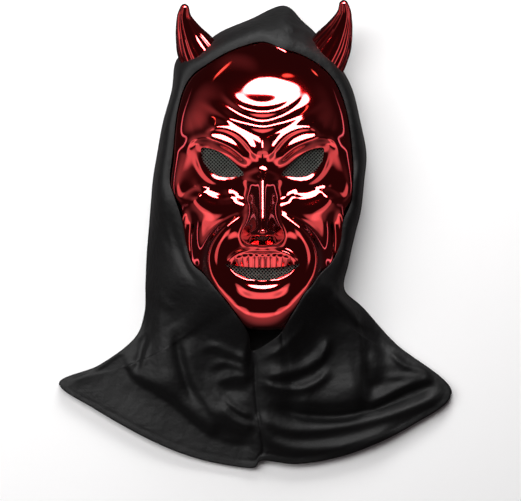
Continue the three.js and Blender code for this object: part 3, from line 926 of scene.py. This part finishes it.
@dataclass
class Horn:
    """One hollow horn, on the side whose sign is given.

    Each station is a place on its centre line and the radius there, for the side with positive X. The
    flutes are unevenly spaced, twist from the root on and are flute_depth deep where the radius is
    FLUTED_RADIUS. The last plain_tip of the length loses them.
    """

    FLUTED_RADIUS = 10.0

    side: int
    stations: Points = (
        (38, 96, 27, 21), (50, 114, 30, 21.5), (60, 131, 34, 18.5), (67, 146, 40, 12.2),
        (70.5, 158, 46, 7), (70, 166, 51, 4.3), (69.9, 168.2, 52.2, 3.2), (69.8, 169.6, 53, 1.1))
    flatness: float = 0.82
    left_shift: tuple[float, float, float] = (0.2, -3.5, 0.0)
    right_shift: tuple[float, float, float] = (2.7, 0.0, 0.0)
    wall: float = 1.8
    hollow_share: float = 0.607
    sides: int = 72
    steps: int = 60
    line_steps: int = 24
    least_radius: float = 0.3
    flutes: int = 12
    flute_depth: float = 0.8
    flute_twist: float = 2.4
    flute_wander: float = 0.9
    wanders: int = 3
    flute_sharpness: int = 3
    plain_tip: float = 0.3
    buried_share: float = 0.92
    line: Array = field(init=False)
    shares: Array = field(init=False)
    radius: Curve = field(init=False)

    def __post_init__(self) -> None:
        """Puts the centre line on this horn's side."""
        shift = np.array(self.left_shift if self.side < 0 else self.right_shift)
        turn = np.array([self.side, 1.0, 1.0])
        table = np.array(self.stations)
        self.line = curve_points(table[:, :3] * turn + shift, self.line_steps)
        self.shares = np.linspace(0.0, 1.0, len(self.line))
        self.radius = monotone(np.stack([np.linspace(0.0, 1.0, len(table)), table[:, 3]], axis=1).tolist())

    def at(self, t: Array) -> Array:
        """Points of the centre line at shares t of its length."""
        return np.stack([np.interp(t, self.shares, self.line[:, k]) for k in range(3)], axis=-1)

    def body(self, name: str, grow: float, share: float, fluted: bool, material: Material) -> Piece:
        """The horn as a filled body.

        Args:
            name: the object's name.
            grow: what is added to the radius.
            share: how much of the length it fills, from the root.
            fluted: whether its sides have flutes.
            material: its material.

        Returns:
            The body.
        """
        bm = grid(self.sides, self.steps)
        flat = coordinates(bm)
        turn = (flat[:, 0] + 1) * math.pi
        t = (flat[:, 1] + 1) / 2 * share
        step = 1e-3
        along = self.at(np.minimum(t + step, 1)) - self.at(np.maximum(t - step, 0))
        along /= np.linalg.norm(along, axis=1, keepdims=True)
        wide = np.cross(along, [0.0, 0.0, 1.0])
        wide /= np.linalg.norm(wide, axis=1, keepdims=True)
        high = np.cross(wide, along)
        size = np.maximum(self.radius(t) + grow, self.least_radius)
        if fluted:
            spread = self.flutes * turn + self.flute_wander * np.sin(self.wanders * turn)
            spread = spread + self.flute_twist * t
            depth = self.flute_depth / self.FLUTED_RADIUS * smooth((1 - t) / self.plain_tip)
            size = size * (1 - depth * (0.5 + 0.5 * np.cos(spread)) ** self.flute_sharpness)
        points = self.at(t) + wide * (size * np.cos(turn))[:, None]
        points += high * (size * self.flatness * np.sin(turn))[:, None]
        place(bm, points)
        bmesh.ops.remove_doubles(bm, verts=bm.verts, dist=MERGE_DISTANCE)
        bmesh.ops.holes_fill(bm, edges=[edge for edge in bm.edges if edge.is_boundary])
        bmesh.ops.recalc_face_normals(bm, faces=bm.faces)
        return finished(name, bm, [material])

    def buries(self, points: Array, depth: float) -> Array:
        """Which points lie inside the horn, taken as round and a little slimmer.

        Args:
            points: the points, a row for each.
            depth: how far inside they have to lie.

        Returns:
            Whether each one does.
        """
        found = np.zeros(len(points), bool)
        for centre, share in zip(self.line, self.shares):
            slim = self.radius(np.array(share)) * self.buried_share
            found |= np.linalg.norm(points - centre, axis=1) < slim - depth
        return found


EYE_OUTLINE: Points = (
    (53.6, 37), (41.5, 34.7), (31, 28.7), (22.8, 21), (17, 13),
    (26, 10.6), (38.3, 11), (46.5, 15.8), (52.7, 24.6), (54.5, 31))
MOUTH_HALF: Points = ((33, -66.4), (23, -68), (12, -69.2), (0, -69.6))
MOUTH_LOWER_HALF: Points = ((0, -81.5), (14, -79), (26, -72.4))
MOUTH_OUTLINE: Points = (*whole(MOUTH_HALF), *mirrored(MOUTH_LOWER_HALF[1:]), *MOUTH_LOWER_HALF)
OPENINGS: dict[str, Points] = {
    "eye_mesh_left": mirrored(EYE_OUTLINE),
    "eye_mesh_right": EYE_OUTLINE,
    "mouth_mesh": MOUTH_OUTLINE,
}


@dataclass
class MaskShell:
    """The moulded face with its horns: one thin wall, cut out at the eyes and the mouth.

    The outer skin has columns by rows of faces, closer at the rims by end_bias, and the inner skin only one
    for inner_every of them. The hollow goes skirt below the rim, so that the wall is open behind.
    """

    face: Face
    horns: tuple[Horn, Horn]
    columns: int = 264
    rows: int = 300
    inner_every: int = 4
    wall: float = 1.6
    end_bias: float = 0.5
    skirt: float = 6.0
    erosion: int = 5
    cut_bottom: float = 4.0
    cut_top: float = 150.0
    outline_steps: int = 10
    sharp_angle: float = 50.0

    def spaced(self, share: Array) -> Array:
        """Shares from -1 to 1, moved closer together at both ends."""
        return (1 - self.end_bias) * share + self.end_bias * np.sin(share * math.pi / 2)

    def block(self, name: str, across: Array, down: Array, points: Array, skirt: float,
              material: Material) -> Piece:
        """A filled body under a skin.

        Args:
            name: the object's name.
            across: the skin's columns, as shares of its width.
            down: the skin's rows, as shares of its length.
            points: the skin's points, by row and column.
            skirt: how far the body goes below the skin's edge.
            material: its material.

        Returns:
            The body.
        """
        bm = grid(len(across) - 1, len(down) - 1)
        place(bm, points.reshape(-1, 3))
        edge = [e for e in bm.edges if e.is_boundary]
        if skirt > 0:
            lowered = bmesh.ops.extrude_edge_only(bm, edges=edge)["geom"]
            raised(bm, lowered, -skirt)
            edge = [e for e in lowered if isinstance(e, bmesh.types.BMEdge) and e.is_boundary]
        bmesh.ops.triangulate(bm, faces=bmesh.ops.contextual_create(bm, geom=edge)["faces"])
        bmesh.ops.recalc_face_normals(bm, faces=bm.faces)
        return finished(name, bm, [material])

    def cutter(self, name: str, outline: Points, material: Material) -> Piece:
        """An upright prism in the shape of an opening.

        Args:
            name: the object's name.
            outline: the opening's outline.
            material: what its sides leave on the cut.

        Returns:
            The prism.
        """
        bm = bmesh.new()
        line = curve_points(outline, self.outline_steps, closed=True)
        line[:, 2] = self.cut_bottom
        base = bm.faces.new([bm.verts.new((point * MM).tolist()) for point in line])
        raised(bm, bmesh.ops.extrude_face_region(bm, geom=[base])["geom"], self.cut_top - self.cut_bottom)
        bmesh.ops.recalc_face_normals(bm, faces=bm.faces)
        return finished(name, bm, [material])

    def lowest_near(self, rise: Array) -> Array:
        """The lowest carving within a few faces of each place, so that the inner skin stays below.

        Args:
            rise: the height of the carving, by row and column.

        Returns:
            The lowest height, by row and column.
        """
        low = rise.copy()
        for axis in (0, 1):
            for shift in range(1, self.erosion + 1):
                for way in (-shift, shift):
                    low = np.minimum(low, np.roll(rise if axis == 0 else low, way, axis=axis))
        return low

    def build(self, outside: Material, inside: Material) -> Piece:
        """Models the shell.

        Args:
            outside: the metallised finish.
            inside: the bare finish.

        Returns:
            The piece.
        """
        across = self.spaced(np.linspace(-1, 1, self.columns + 1))
        down = self.spaced(np.linspace(-1, 1, self.rows + 1))
        wide, long = np.meshgrid(across, down)
        rise = Relief.rise(*self.face.plan(wide, long))
        outer = self.face.skin(wide, long, 0.0, rise)
        shell = self.block("mask", across, down, outer, 0.0, outside)
        low = self.lowest_near(rise)
        some = slice(None, None, self.inner_every)
        inner = self.face.skin(wide[some, some], long[some, some], self.wall, low[some, some])
        tools = [(Cut.JOIN, horn.body(f"horn_{k}", 0.0, 1.0, True, outside))
                 for k, horn in enumerate(self.horns)]
        hollow = self.block("hollow", across[some], down[some], inner, self.skirt, inside)
        tools.append((Cut.REMOVE, hollow))
        tools += [(Cut.REMOVE, horn.body(f"horn_hollow_{k}", -horn.wall, horn.hollow_share, False, inside))
                  for k, horn in enumerate(self.horns)]
        tools += [(Cut.REMOVE, self.cutter(f"cut_{name}", outline, outside))
                  for name, outline in OPENINGS.items()]
        combine(shell, tools)
        shell.data.shade_smooth()
        shell.data.set_sharp_from_angle(angle=math.radians(self.sharp_angle))
        return shell


@dataclass
class Gauze:
    """A patch of punched gauze, fixed behind an opening and following the inner skin.

    It is a slanting grid of holes, pitch apart with bars between them, whose corners are cut off by a share
    of the pitch. It reaches margin past the opening and lies depth under the lowest skin within span.
    """

    face: Face
    pitch: float = 2.2
    bar: float = 0.55
    corner_share: float = 0.2
    slant: float = 45.0
    spare: float = 1.5
    outline_steps: int = 4
    margin: float = 3.5
    depth: float = 2.6
    span: float = 4.0
    thickness: float = 0.35

    CUT_SIDES = 8

    def build(self, name: str, outline: Points, material: Material) -> Piece:
        """Models one patch.

        Args:
            name: the piece's name.
            outline: the opening's outline.
            material: its material.

        Returns:
            The piece.
        """
        line = curve_points(outline, self.outline_steps, closed=True)[:, :2]
        centre = line.mean(axis=0)
        reach = float(np.abs(line - centre).max()) + 2 * self.margin
        count = 2 * math.ceil(reach * self.spare / self.pitch)
        bm = grid(count, count)
        turn = math.radians(self.slant)
        flat = coordinates(bm)[:, :2] * count * self.pitch / 2
        x = centre[0] + flat[:, 0] * math.cos(turn) - flat[:, 1] * math.sin(turn)
        y = centre[1] + flat[:, 0] * math.sin(turn) + flat[:, 1] * math.cos(turn)
        place(bm, np.stack([x, y, np.zeros_like(x)], axis=1))
        away = [face for face in bm.faces
                if not self.covers(line, np.array(face.calc_center_median()) / MM)]
        bmesh.ops.delete(bm, geom=away, context="FACES")
        holes = list(bm.faces)
        bmesh.ops.inset_individual(bm, faces=holes, thickness=self.bar / 2 * MM, use_even_offset=True)
        corners = {vert for face in holes for vert in face.verts}
        bmesh.ops.bevel(bm, geom=list(corners), offset=self.pitch * self.corner_share * MM,
                        affect="VERTICES", segments=1, profile=0.5, material=-1)
        cut = [face for face in bm.faces if len(face.verts) == self.CUT_SIDES]
        bmesh.ops.delete(bm, geom=cut, context="FACES")
        flat = coordinates(bm) / MM
        flat[:, 2] = self.height(flat[:, 0], flat[:, 1])
        place(bm, flat)
        bmesh.ops.recalc_face_normals(bm, faces=bm.faces)
        made = finished(name, bm, [material])
        thickened(made, self.thickness)
        return made

    def height(self, x: Array, y: Array) -> Array:
        """The gauze's height: it spans the carving that lies round it, below the wall."""
        around = [(0, 0), (self.span, 0), (-self.span, 0), (0, self.span), (0, -self.span)]
        heights = [self.face.height(x + dx, y + dy) for dx, dy in around]
        return np.minimum.reduce(heights) - self.depth

    def covers(self, line: Array, point: Array) -> bool:
        """Whether the patch covers a place.

        Args:
            line: points round the opening, a row for each.
            point: the place.

        Returns:
            Whether it is inside the outline or within the margin of it.
        """
        if np.hypot(*(line - point[:2]).T).min() < self.margin:
            return True
        ends = np.roll(line, -1, axis=0)
        crossing = (line[:, 1] > point[1]) != (ends[:, 1] > point[1])
        share = (point[1] - line[:, 1]) / np.where(crossing, ends[:, 1] - line[:, 1], 1.0)
        return bool(np.sum(crossing & (line[:, 0] + share * (ends[:, 0] - line[:, 0]) > point[0])) % 2)


@dataclass(frozen=True)
class Spokes:
    """The hood's front layer as spokes, from the edge round the face to the outline; an entry for each.

    start and end are places in plan and height is the edge's. away points out of the outline, bow is how
    far the spoke bows towards -Y and reach is its length. opened says whether the hem is open there. The
    others are shares: how free the hem is, how closely the cloth hugs the face, how evenly it slopes and
    how loosely it falls.
    """

    start: Array
    end: Array
    height: Array
    away: Array
    bow: Array
    reach: Array
    opened: Array
    free: Array
    snug: Array
    sloping: Array
    long: Array


@dataclass
class Hood:
    """The hood with its cape, one sewn garment lying on its back with its hem open.

    Both outlines start under the throat and run up the side with negative X, point for point. The edge
    lies on the face, except at the throat, where its height is given. The front layer is drawn along
    spokes from the edge to the outline, and a key is the number of a spoke's point on both.

    bows: each a key, how many keys it reaches to either side, and how far the spokes bow there towards -Y.
    last_left_hem_key, first_right_hem_key: the hem is open below the one and above the other.
    hem_blend: over how many keys, to either side of those two, the cloth comes free of its side fold.
    throat_keys, throat_blend: beyond these two keys, at the throat, the cloth comes to slope evenly.
    dense_keys: between these two, only every other spoke is kept.
    snug_reach, short_reach, long_reach: how long a spoke is that hugs the face, that is still taut, and
    that sags freely. taut_curve and snug_curve are the power and the root of a taut and a hugging fall.
    sag_length, sag_power, sag_end: how far a free spoke holds its height, how steeply it falls there, and
    over which last share it comes down.
    fold_start, fold_end: the first and last shares of a spoke over which its folds fade in and out.
    settling: how softly the cloth meets the level that it lies on, side_fold_height.
    hem_turned: how far inside the hem its row of stitches runs.
    """

    face: Face
    horns: tuple[Horn, Horn]
    edge: Points = (
        (-9, -145, 32), (-12, -131, 47), (-16, -124), (-22, -116), (-28, -107.5), (-36, -97), (-45, -86),
        (-54, -75.5), (-64, -66), (-69, -49), (-73, -27), (-80, -6), (-84, 9), (-81, 36), (-78, 66),
        (-72, 90), (-63, 104), (-50, 113), (-35, 122), (-18, 129), (0, 133), (17, 127), (34, 122),
        (49, 114), (61, 104), (71, 88), (78, 63), (82, 27), (82, 7), (80, -12), (73, -29), (70, -49),
        (63, -65), (52, -76), (45, -86), (38, -94), (31, -106), (24, -117), (18, -127), (13, -132, 44))
    outline: Points = (
        (-11, -253), (-57, -245), (-101, -228), (-153, -199), (-185, -176), (-149, -160), (-117, -136),
        (-107, -112), (-106, -85), (-105, -60), (-103, -35), (-101, -10), (-99, 12), (-95, 36),
        (-90, 63), (-82, 92), (-78, 119), (-63, 126), (-51, 135), (-36, 145.5), (-11, 156), (19, 168.5),
        (36, 154.5), (51, 140), (68, 117), (81, 93), (89, 61), (94, 34), (92, 9), (89, -18), (84, -38),
        (78, -65), (74, -90), (92, -108), (122, -141), (172, -183), (136, -214), (82, -239), (34, -249),
        (0, -246))
    bows: Points = ((5, 3.6, 16), (33.6, 3.4, 12))
    last_left_hem_key: float = 4
    first_right_hem_key: float = 35
    steps_per_key: int = 16
    dense_keys: tuple[float, float] = (7, 34)
    rings: int = 88
    fold_rings: int = 4
    back_rings: int = 8
    cloth: float = 0.6
    edge_lift: float = 1.0
    edge_reach: float = 0.4
    edge_inset: float = 0.8
    side_fold_height: float = 4.2
    hem_height: float = 9.0
    neck_loft: float = 17.0
    snug_reach: float = 14.0
    short_reach: float = 38.0
    long_reach: float = 85.0
    back_height: float = 0.5
    fold_bulge: float = 1.0
    back_centre: tuple[float, float] = (-2.0, -110.0)
    face_clearance: float = 0.9
    horn_overlap: float = 1.5
    settling: float = 2.0
    hem_blend: float = 1.4
    throat_keys: tuple[float, float] = (1.6, 37.0)
    throat_blend: float = 1.6
    throat_power: float = 1.3
    taut_curve: tuple[float, float] = (1.7, 0.8)
    snug_curve: tuple[float, float] = (3.0, 0.5)
    sag_length: float = 32.0
    sag_power: float = 1.4
    sag_end: float = 0.3
    fold_start: float = 0.15
    fold_end: float = 0.1
    hem_turned: float = 6.5
    stitch_width: float = 1.4
    stitch_depth: float = 0.6

    FOLDS: tuple[Stroke, ...] = (
        Stroke([(18, 150), (33, 145.5), (49, 138)], 2.4, 2.2, 3, 0.3),
        Stroke([(-84, -12), (-80, -40), (-69, -68), (-52, -90)], -2.4, 3, 3, 0.3),
        Stroke([(-94, -27), (-87, -45), (-78, -60)], -1.4, 2.5, 2.5, 0.4),
        Stroke([(-102, -92), (-92, -98), (-78, -110)], 1.6, 3, 3, 0.4),
        Stroke([(78, -62), (70, -84), (52, -104)], -1.8, 3, 3, 0.4),
        Stroke([(-140.8, -144), (-131.8, -162), (-118.4, -176.4), (-101.2, -185.4), (-85, -196.2),
                (-70.7, -209.7), (-56.2, -221.4), (-41.9, -230.4), (-23.9, -234.9), (-0.5, -231.3)],
               -8, 5, 16, 0.12),
        Stroke([(-121, -162), (-104.9, -171.9), (-86.9, -180.9), (-68.9, -194.4), (-50.9, -207),
                (-31.1, -212.4)], 3, 9, 6, 0.3),
        Stroke([(-88.7, -99), (-90.5, -135), (-85, -166.5), (-70.7, -192.6)], 6.5, 11, 9, 0.3),
        Stroke([(-80.5, -122.4), (-76, -149.4), (-68.9, -176.4), (-58.1, -198)], -3.6, 2.8, 2.8, 0.3),
        Stroke([(-70.7, -127.8), (-66.2, -153), (-58.1, -178.2), (-44.6, -199.8), (-32.9, -216)],
               4.6, 7, 3.4, 0.25),
        Stroke([(-52.6, -162), (-44.6, -180.9), (-32.9, -198)], 2.4, 4, 3, 0.4),
        Stroke([(-104.9, -127.8), (-110.2, -145.8), (-116.5, -169.2)], -3.2, 2.6, 3, 0.25),
        Stroke([(-103, -131.4), (-106.7, -147.6), (-112, -167.4)], 2, 2.2, 2, 0.4),
        Stroke([(-135.5, -145.8), (-130.1, -158.4), (-121, -171.9)], -3, 2.8, 2.8, 0.3),
        Stroke([(-180.5, -173.7), (-160.7, -166.5), (-142.7, -159.3), (-133.7, -153)], 2.2, 3, 4, 0.3),
        Stroke([(-59, -148.5), (-45.5, -141.3), (-30.2, -146.7), (-15.8, -153), (-6.8, -160.2)],
               3.6, 3.2, 2.6, 0.3),
        Stroke([(-51.8, -162.9), (-36.5, -156.6), (-20.2, -160.2), (-7.7, -167.4)], 2.6, 3, 2.4, 0.35),
        Stroke([(-45.5, -175.5), (-25.7, -168.3), (-6.8, -170.6)], 3.8, 3.6, 3, 0.3),
        Stroke([(-40.1, -185.4), (-23.9, -180.9), (-8.6, -184.5)], -4, 5, 5, 0.4),
        Stroke([(-36.5, -184.5), (-27.4, -195.3), (-15.8, -202.5), (-5.9, -206.1)], 3.4, 2.6, 2, 0.3),
        Stroke([(-39.1, -190.8), (-31.1, -203.4), (-20.2, -211.5), (-5, -217.8)], 4.6, 3.4, 4, 0.25),
        Stroke([(-49.1, -217.8), (-27.4, -223.2), (-4, -225)], -4.6, 6, 6, 0.25),
        Stroke([(-5, -151.2), (5, -148.5), (18.4, -141.3), (31.1, -128.7), (41.9, -113.4)],
               2.4, 2.6, 2.6, 0.25),
        Stroke([(-5, -167.8), (11.2, -166.5), (25.7, -164.2), (38.2, -160.2), (47.2, -154.8),
                (53.6, -147.6), (57.1, -139.5), (59.9, -128.7)], 5.6, 4.4, 3.4, 0.2),
        Stroke([(48.1, -157.5), (53.6, -152.1), (57.1, -143.1), (59.9, -133.2)], 2.2, 1.6, 1.4, 0.3),
        Stroke([(-5.9, -171), (3.1, -175.1), (14, -178.7), (27.4, -180), (41.9, -177.3), (53.6, -170.1),
                (62.6, -158.4)], 4.8, 3, 3.2, 0.2),
        Stroke([(22, -188), (45, -192), (68, -193), (86, -191), (102, -186)], 9, 19, 7, 0.25),
        Stroke([(5, -192.6), (24.8, -200.7), (51.8, -204.3), (74.2, -204.3), (101.2, -198.9),
                (123.8, -190.8), (146.2, -180.9), (161.6, -174.6)], -7.5, 5.5, 4.6, 0.15),
        Stroke([(79.7, -102.6), (85, -122.4), (88.2, -139.5), (89.1, -162), (89.5, -185.4), (94, -198.9)],
               7.5, 3, 18, 0.25),
        Stroke([(93.2, -145.8), (100.4, -158.4), (110.2, -168.3)], 3.2, 6, 5, 0.4),
        Stroke([(93.2, -183.6), (102.2, -178.2), (116.5, -174.6)], -3, 4, 4, 0.4),
        Stroke([(93.2, -199.8), (102.2, -193.1), (113, -187.7), (124.7, -180.9), (136.3, -176.4),
                (147.2, -172.8), (157.1, -170.1)], 5, 3.8, 3, 0.12),
        Stroke([(116.5, -140.4), (120.2, -150.3), (127.4, -157.5), (138.2, -162), (156.2, -164.2)],
               3, 2.2, 2.4, 0.25),
        Stroke([(107.5, -169.2), (122, -169.2), (136.3, -168.3), (154.3, -165.6)], 2, 2, 2.4, 0.35),
        Stroke([(100.4, -126), (109.4, -145.8), (114.8, -162)], -3.6, 6, 4, 0.35),
        Stroke([(-4.5, -198), (-0.5, -204.3), (7.7, -211.5), (22.9, -216.9), (37.4, -217.8), (53.6, -216.9),
                (82.4, -211.5), (113, -203.8), (144.5, -193.1), (167, -183.6)], 4.4, 4.4, 4.2, 0.1),
        Stroke([(-3.6, -201.6), (0.5, -214.2), (5, -222.3), (13.1, -229.5), (29.2, -234), (50.9, -234.5),
                (74.2, -232.2), (102.2, -224.1), (125.5, -214.2)], 4.2, 4.2, 4.6, 0.16),
        Stroke([(-8.6, -146.7), (-6.8, -158.4), (-6.8, -170.1), (-5.9, -185.4), (-4.5, -199.8),
                (-2.2, -216), (0.9, -232.2), (-0.5, -243)], -1.6, 1.1, 1.1, 0.05),
        Stroke([(-5.4, -201.6), (-4, -211.5), (-1.4, -225)], 1.6, 1.3, 1.3, 0.3),
    )

    def spokes(self) -> Spokes:
        """Works out the spokes of the front layer.

        Returns:
            The spokes.
        """
        edge = np.array([[*p, 0.0][:3] for p in self.edge])
        outline = np.array(self.outline, float)
        out = outline - edge[:, :2]
        out /= np.linalg.norm(out, axis=1, keepdims=True)
        on_face = edge[:, 2] == 0
        edge[on_face, :2] -= out[on_face] * self.edge_inset
        seat = edge[:, :2] - out * self.edge_reach
        seated = self.face.height(seat[:, 0], seat[:, 1]) + self.edge_lift
        edge[:, 2] = np.where(on_face, seated, edge[:, 2])
        start = curve_points(edge, self.steps_per_key, closed=True)
        end = curve_points(outline, self.steps_per_key, closed=True)[:, :2]
        key = np.arange(len(start)) / self.steps_per_key
        cape = (key < self.dense_keys[0]) | (key > self.dense_keys[1])
        kept = cape | (np.arange(len(start)) % 2 == 0)
        start, end, key = start[kept], end[kept], key[kept]
        side = np.roll(end, -1, axis=0) - np.roll(end, 1, axis=0)
        side /= np.linalg.norm(side, axis=1, keepdims=True)
        reach = np.linalg.norm(end - start[:, :2], axis=1)
        corner = np.maximum(self.last_left_hem_key - key, key - self.first_right_hem_key)
        at_throat = np.maximum(self.throat_keys[0] - key, key - self.throat_keys[1])
        bow = sum(depth * smooth(1 - np.abs(key - at) / spread) for at, spread, depth in self.bows)
        lifted = self.face.height(start[:, 0], start[:, 1]) + self.edge_lift
        return Spokes(
            start=start[:, :2], end=end, height=np.maximum(start[:, 2], lifted),
            away=np.stack([-side[:, 1], side[:, 0]], axis=1), bow=bow, reach=reach, opened=corner > 0,
            free=smooth((corner + self.hem_blend) / (2 * self.hem_blend)),
            snug=1 - smooth((reach - self.snug_reach) / (self.short_reach - self.snug_reach)),
            sloping=smooth(at_throat / self.throat_blend),
            long=smooth((reach - self.short_reach) / (self.long_reach - self.short_reach)))

    def front(self, spoke: Spokes) -> Array:
        """The rings of the front layer, from the edge round the face to the outline.

        Args:
            spoke: the spokes.

        Returns:
            Their points, by ring and spoke.
        """
        t = np.linspace(0, 1, self.rings + 1)[:, None]
        x, y = (lerp(spoke.start[:, k], spoke.end[:, k], t) for k in (0, 1))
        y = y - 4 * t * (1 - t) * spoke.bow
        foot = lerp(self.side_fold_height, self.hem_height, spoke.free)
        ground = foot + (self.neck_loft - foot) * (1 - t) * spoke.long
        power, root = (lerp(*ends, spoke.snug) for ends in zip(self.taut_curve, self.snug_curve))
        sagging = np.exp(-((t * spoke.reach / self.sag_length) ** self.sag_power))
        sagging = sagging * smooth((1 - t) / self.sag_end)
        loose = lerp(sagging, (1 - t) ** self.throat_power, spoke.sloping)
        fall = lerp((1 - t**power) ** root, loose, spoke.long)
        reach = smooth(t / self.fold_start) * lerp(smooth((1 - t) / self.fold_end), 1, spoke.free)
        stitches = (spoke.reach * (1 - t) - self.hem_turned) / self.stitch_width
        folds = total_rise(self.FOLDS, x, y) * reach
        folds = folds - self.stitch_depth * np.exp(-stitches**2) * spoke.free
        above = lerp(ground, spoke.height, fall) + folds - self.side_fold_height
        z = self.side_fold_height + (above + np.sqrt(above**2 + self.settling**2)) / 2
        z = np.maximum(z, self.face.height(x, y) + self.face_clearance)
        return np.stack([x, y, z], axis=-1)

    def turned_edge(self, spoke: Spokes, last: Array) -> Array:
        """The rings that take the cloth round its side folds.

        Args:
            spoke: the front layer's spokes.
            last: the front layer's last ring.

        Returns:
            Their points, by ring and spoke.
        """
        turn = np.linspace(0, math.pi, self.fold_rings + 1)[1:, None]
        half = (last[:, 2] - self.back_height) / 2
        x, y = (last[:, k] + spoke.away[:, k] * self.fold_bulge * np.sin(turn) for k in (0, 1))
        z = self.back_height + half + half * np.cos(turn)
        return np.stack([x, y, z], axis=-1)

    def back(self, rim: Array) -> Array:
        """The rings of the back layer, from its rim to its centre.

        Args:
            rim: the last ring of the side folds.

        Returns:
            Their points, by ring and spoke.
        """
        t = np.linspace(0, 1, self.back_rings + 1)[1:, None]
        x, y = (lerp(rim[:, k], self.back_centre[k], t) for k in (0, 1))
        return np.stack([x, y, np.full_like(x, self.back_height)], axis=-1)

    def build(self, material: Material) -> Piece:
        """Models the garment.

        Args:
            material: the cloth's finish.

        Returns:
            The piece.
        """
        spoke = self.spokes()
        front = self.front(spoke)
        fold = self.turned_edge(spoke, front[-1])
        back = self.back(fold[-1])
        rows = np.concatenate([front, fold, back])
        rows = np.concatenate([rows, rows[:, :1]], axis=1)
        count = rows.shape[1] - 1
        bm = grid(count, len(rows) - 1)
        hem = np.append(spoke.opened, spoke.opened[0])
        place(bm, rows.reshape(-1, 3))
        bm.faces.ensure_lookup_table()
        turned = range(self.rings, self.rings + self.fold_rings)
        opened = [bm.faces[row * count + column] for row in turned for column in range(count)
                  if hem[column] and hem[column + 1]]
        flat = rows.reshape(-1, 3)
        buried = np.logical_or(*(horn.buries(flat, self.horn_overlap) for horn in self.horns))
        holes = [face for face in bm.faces if all(buried[vert.index] for vert in face.verts)]
        bmesh.ops.delete(bm, geom=list({*opened, *holes}), context="FACES")
        bmesh.ops.remove_doubles(bm, verts=bm.verts, dist=MERGE_DISTANCE)
        bmesh.ops.dissolve_degenerate(bm, edges=bm.edges, dist=MERGE_DISTANCE / 10)
        bmesh.ops.recalc_face_normals(bm, faces=bm.faces)
        made = finished("hood_cloth", bm, [material])
        thickened(made, self.cloth)
        return made


def report(piece: Piece) -> None:
    """Logs a piece's size and how many triangles it has."""
    piece.data.calc_loop_triangles()
    size = ", ".join(f"{length / MM:.0f}" for length in piece.dimensions)
    LOG.info("%s: %s mm, %d triangles", piece.name, size, len(piece.data.loop_triangles))


def dress(piece: Piece, node: str, use: LightUse = LightUse.SPREAD) -> None:
    """Has a piece stand for a CAD node, on the only body, and logs it.

    Args:
        piece: the piece.
        node: the node that it replaces.
        use: which lights light it.
    """
    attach(piece, "root")
    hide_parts(node)
    lit_for(use).objects.link(piece)
    report(piece)


def main() -> None:
    """Builds the studio and every piece."""
    logging.basicConfig(level=logging.INFO, format="%(message)s")
    Studio().build()
    face = Face()
    horns = (Horn(-1), Horn(1))
    shell = MaskShell(face, horns).build(MetallisedPlastic().build(), BarePlastic().build())
    dress(shell, "mask_shell", LightUse.MIRRORED)
    gauze = PunchedGauze().build()
    for name, outline in OPENINGS.items():
        dress(Gauze(face).build(f"{name}_punched", outline, gauze), name)
    hood = Hood(face, horns).build(BlackSatin().build())
    dress(hood, "hood")


if __name__ == "__main__":
    main()
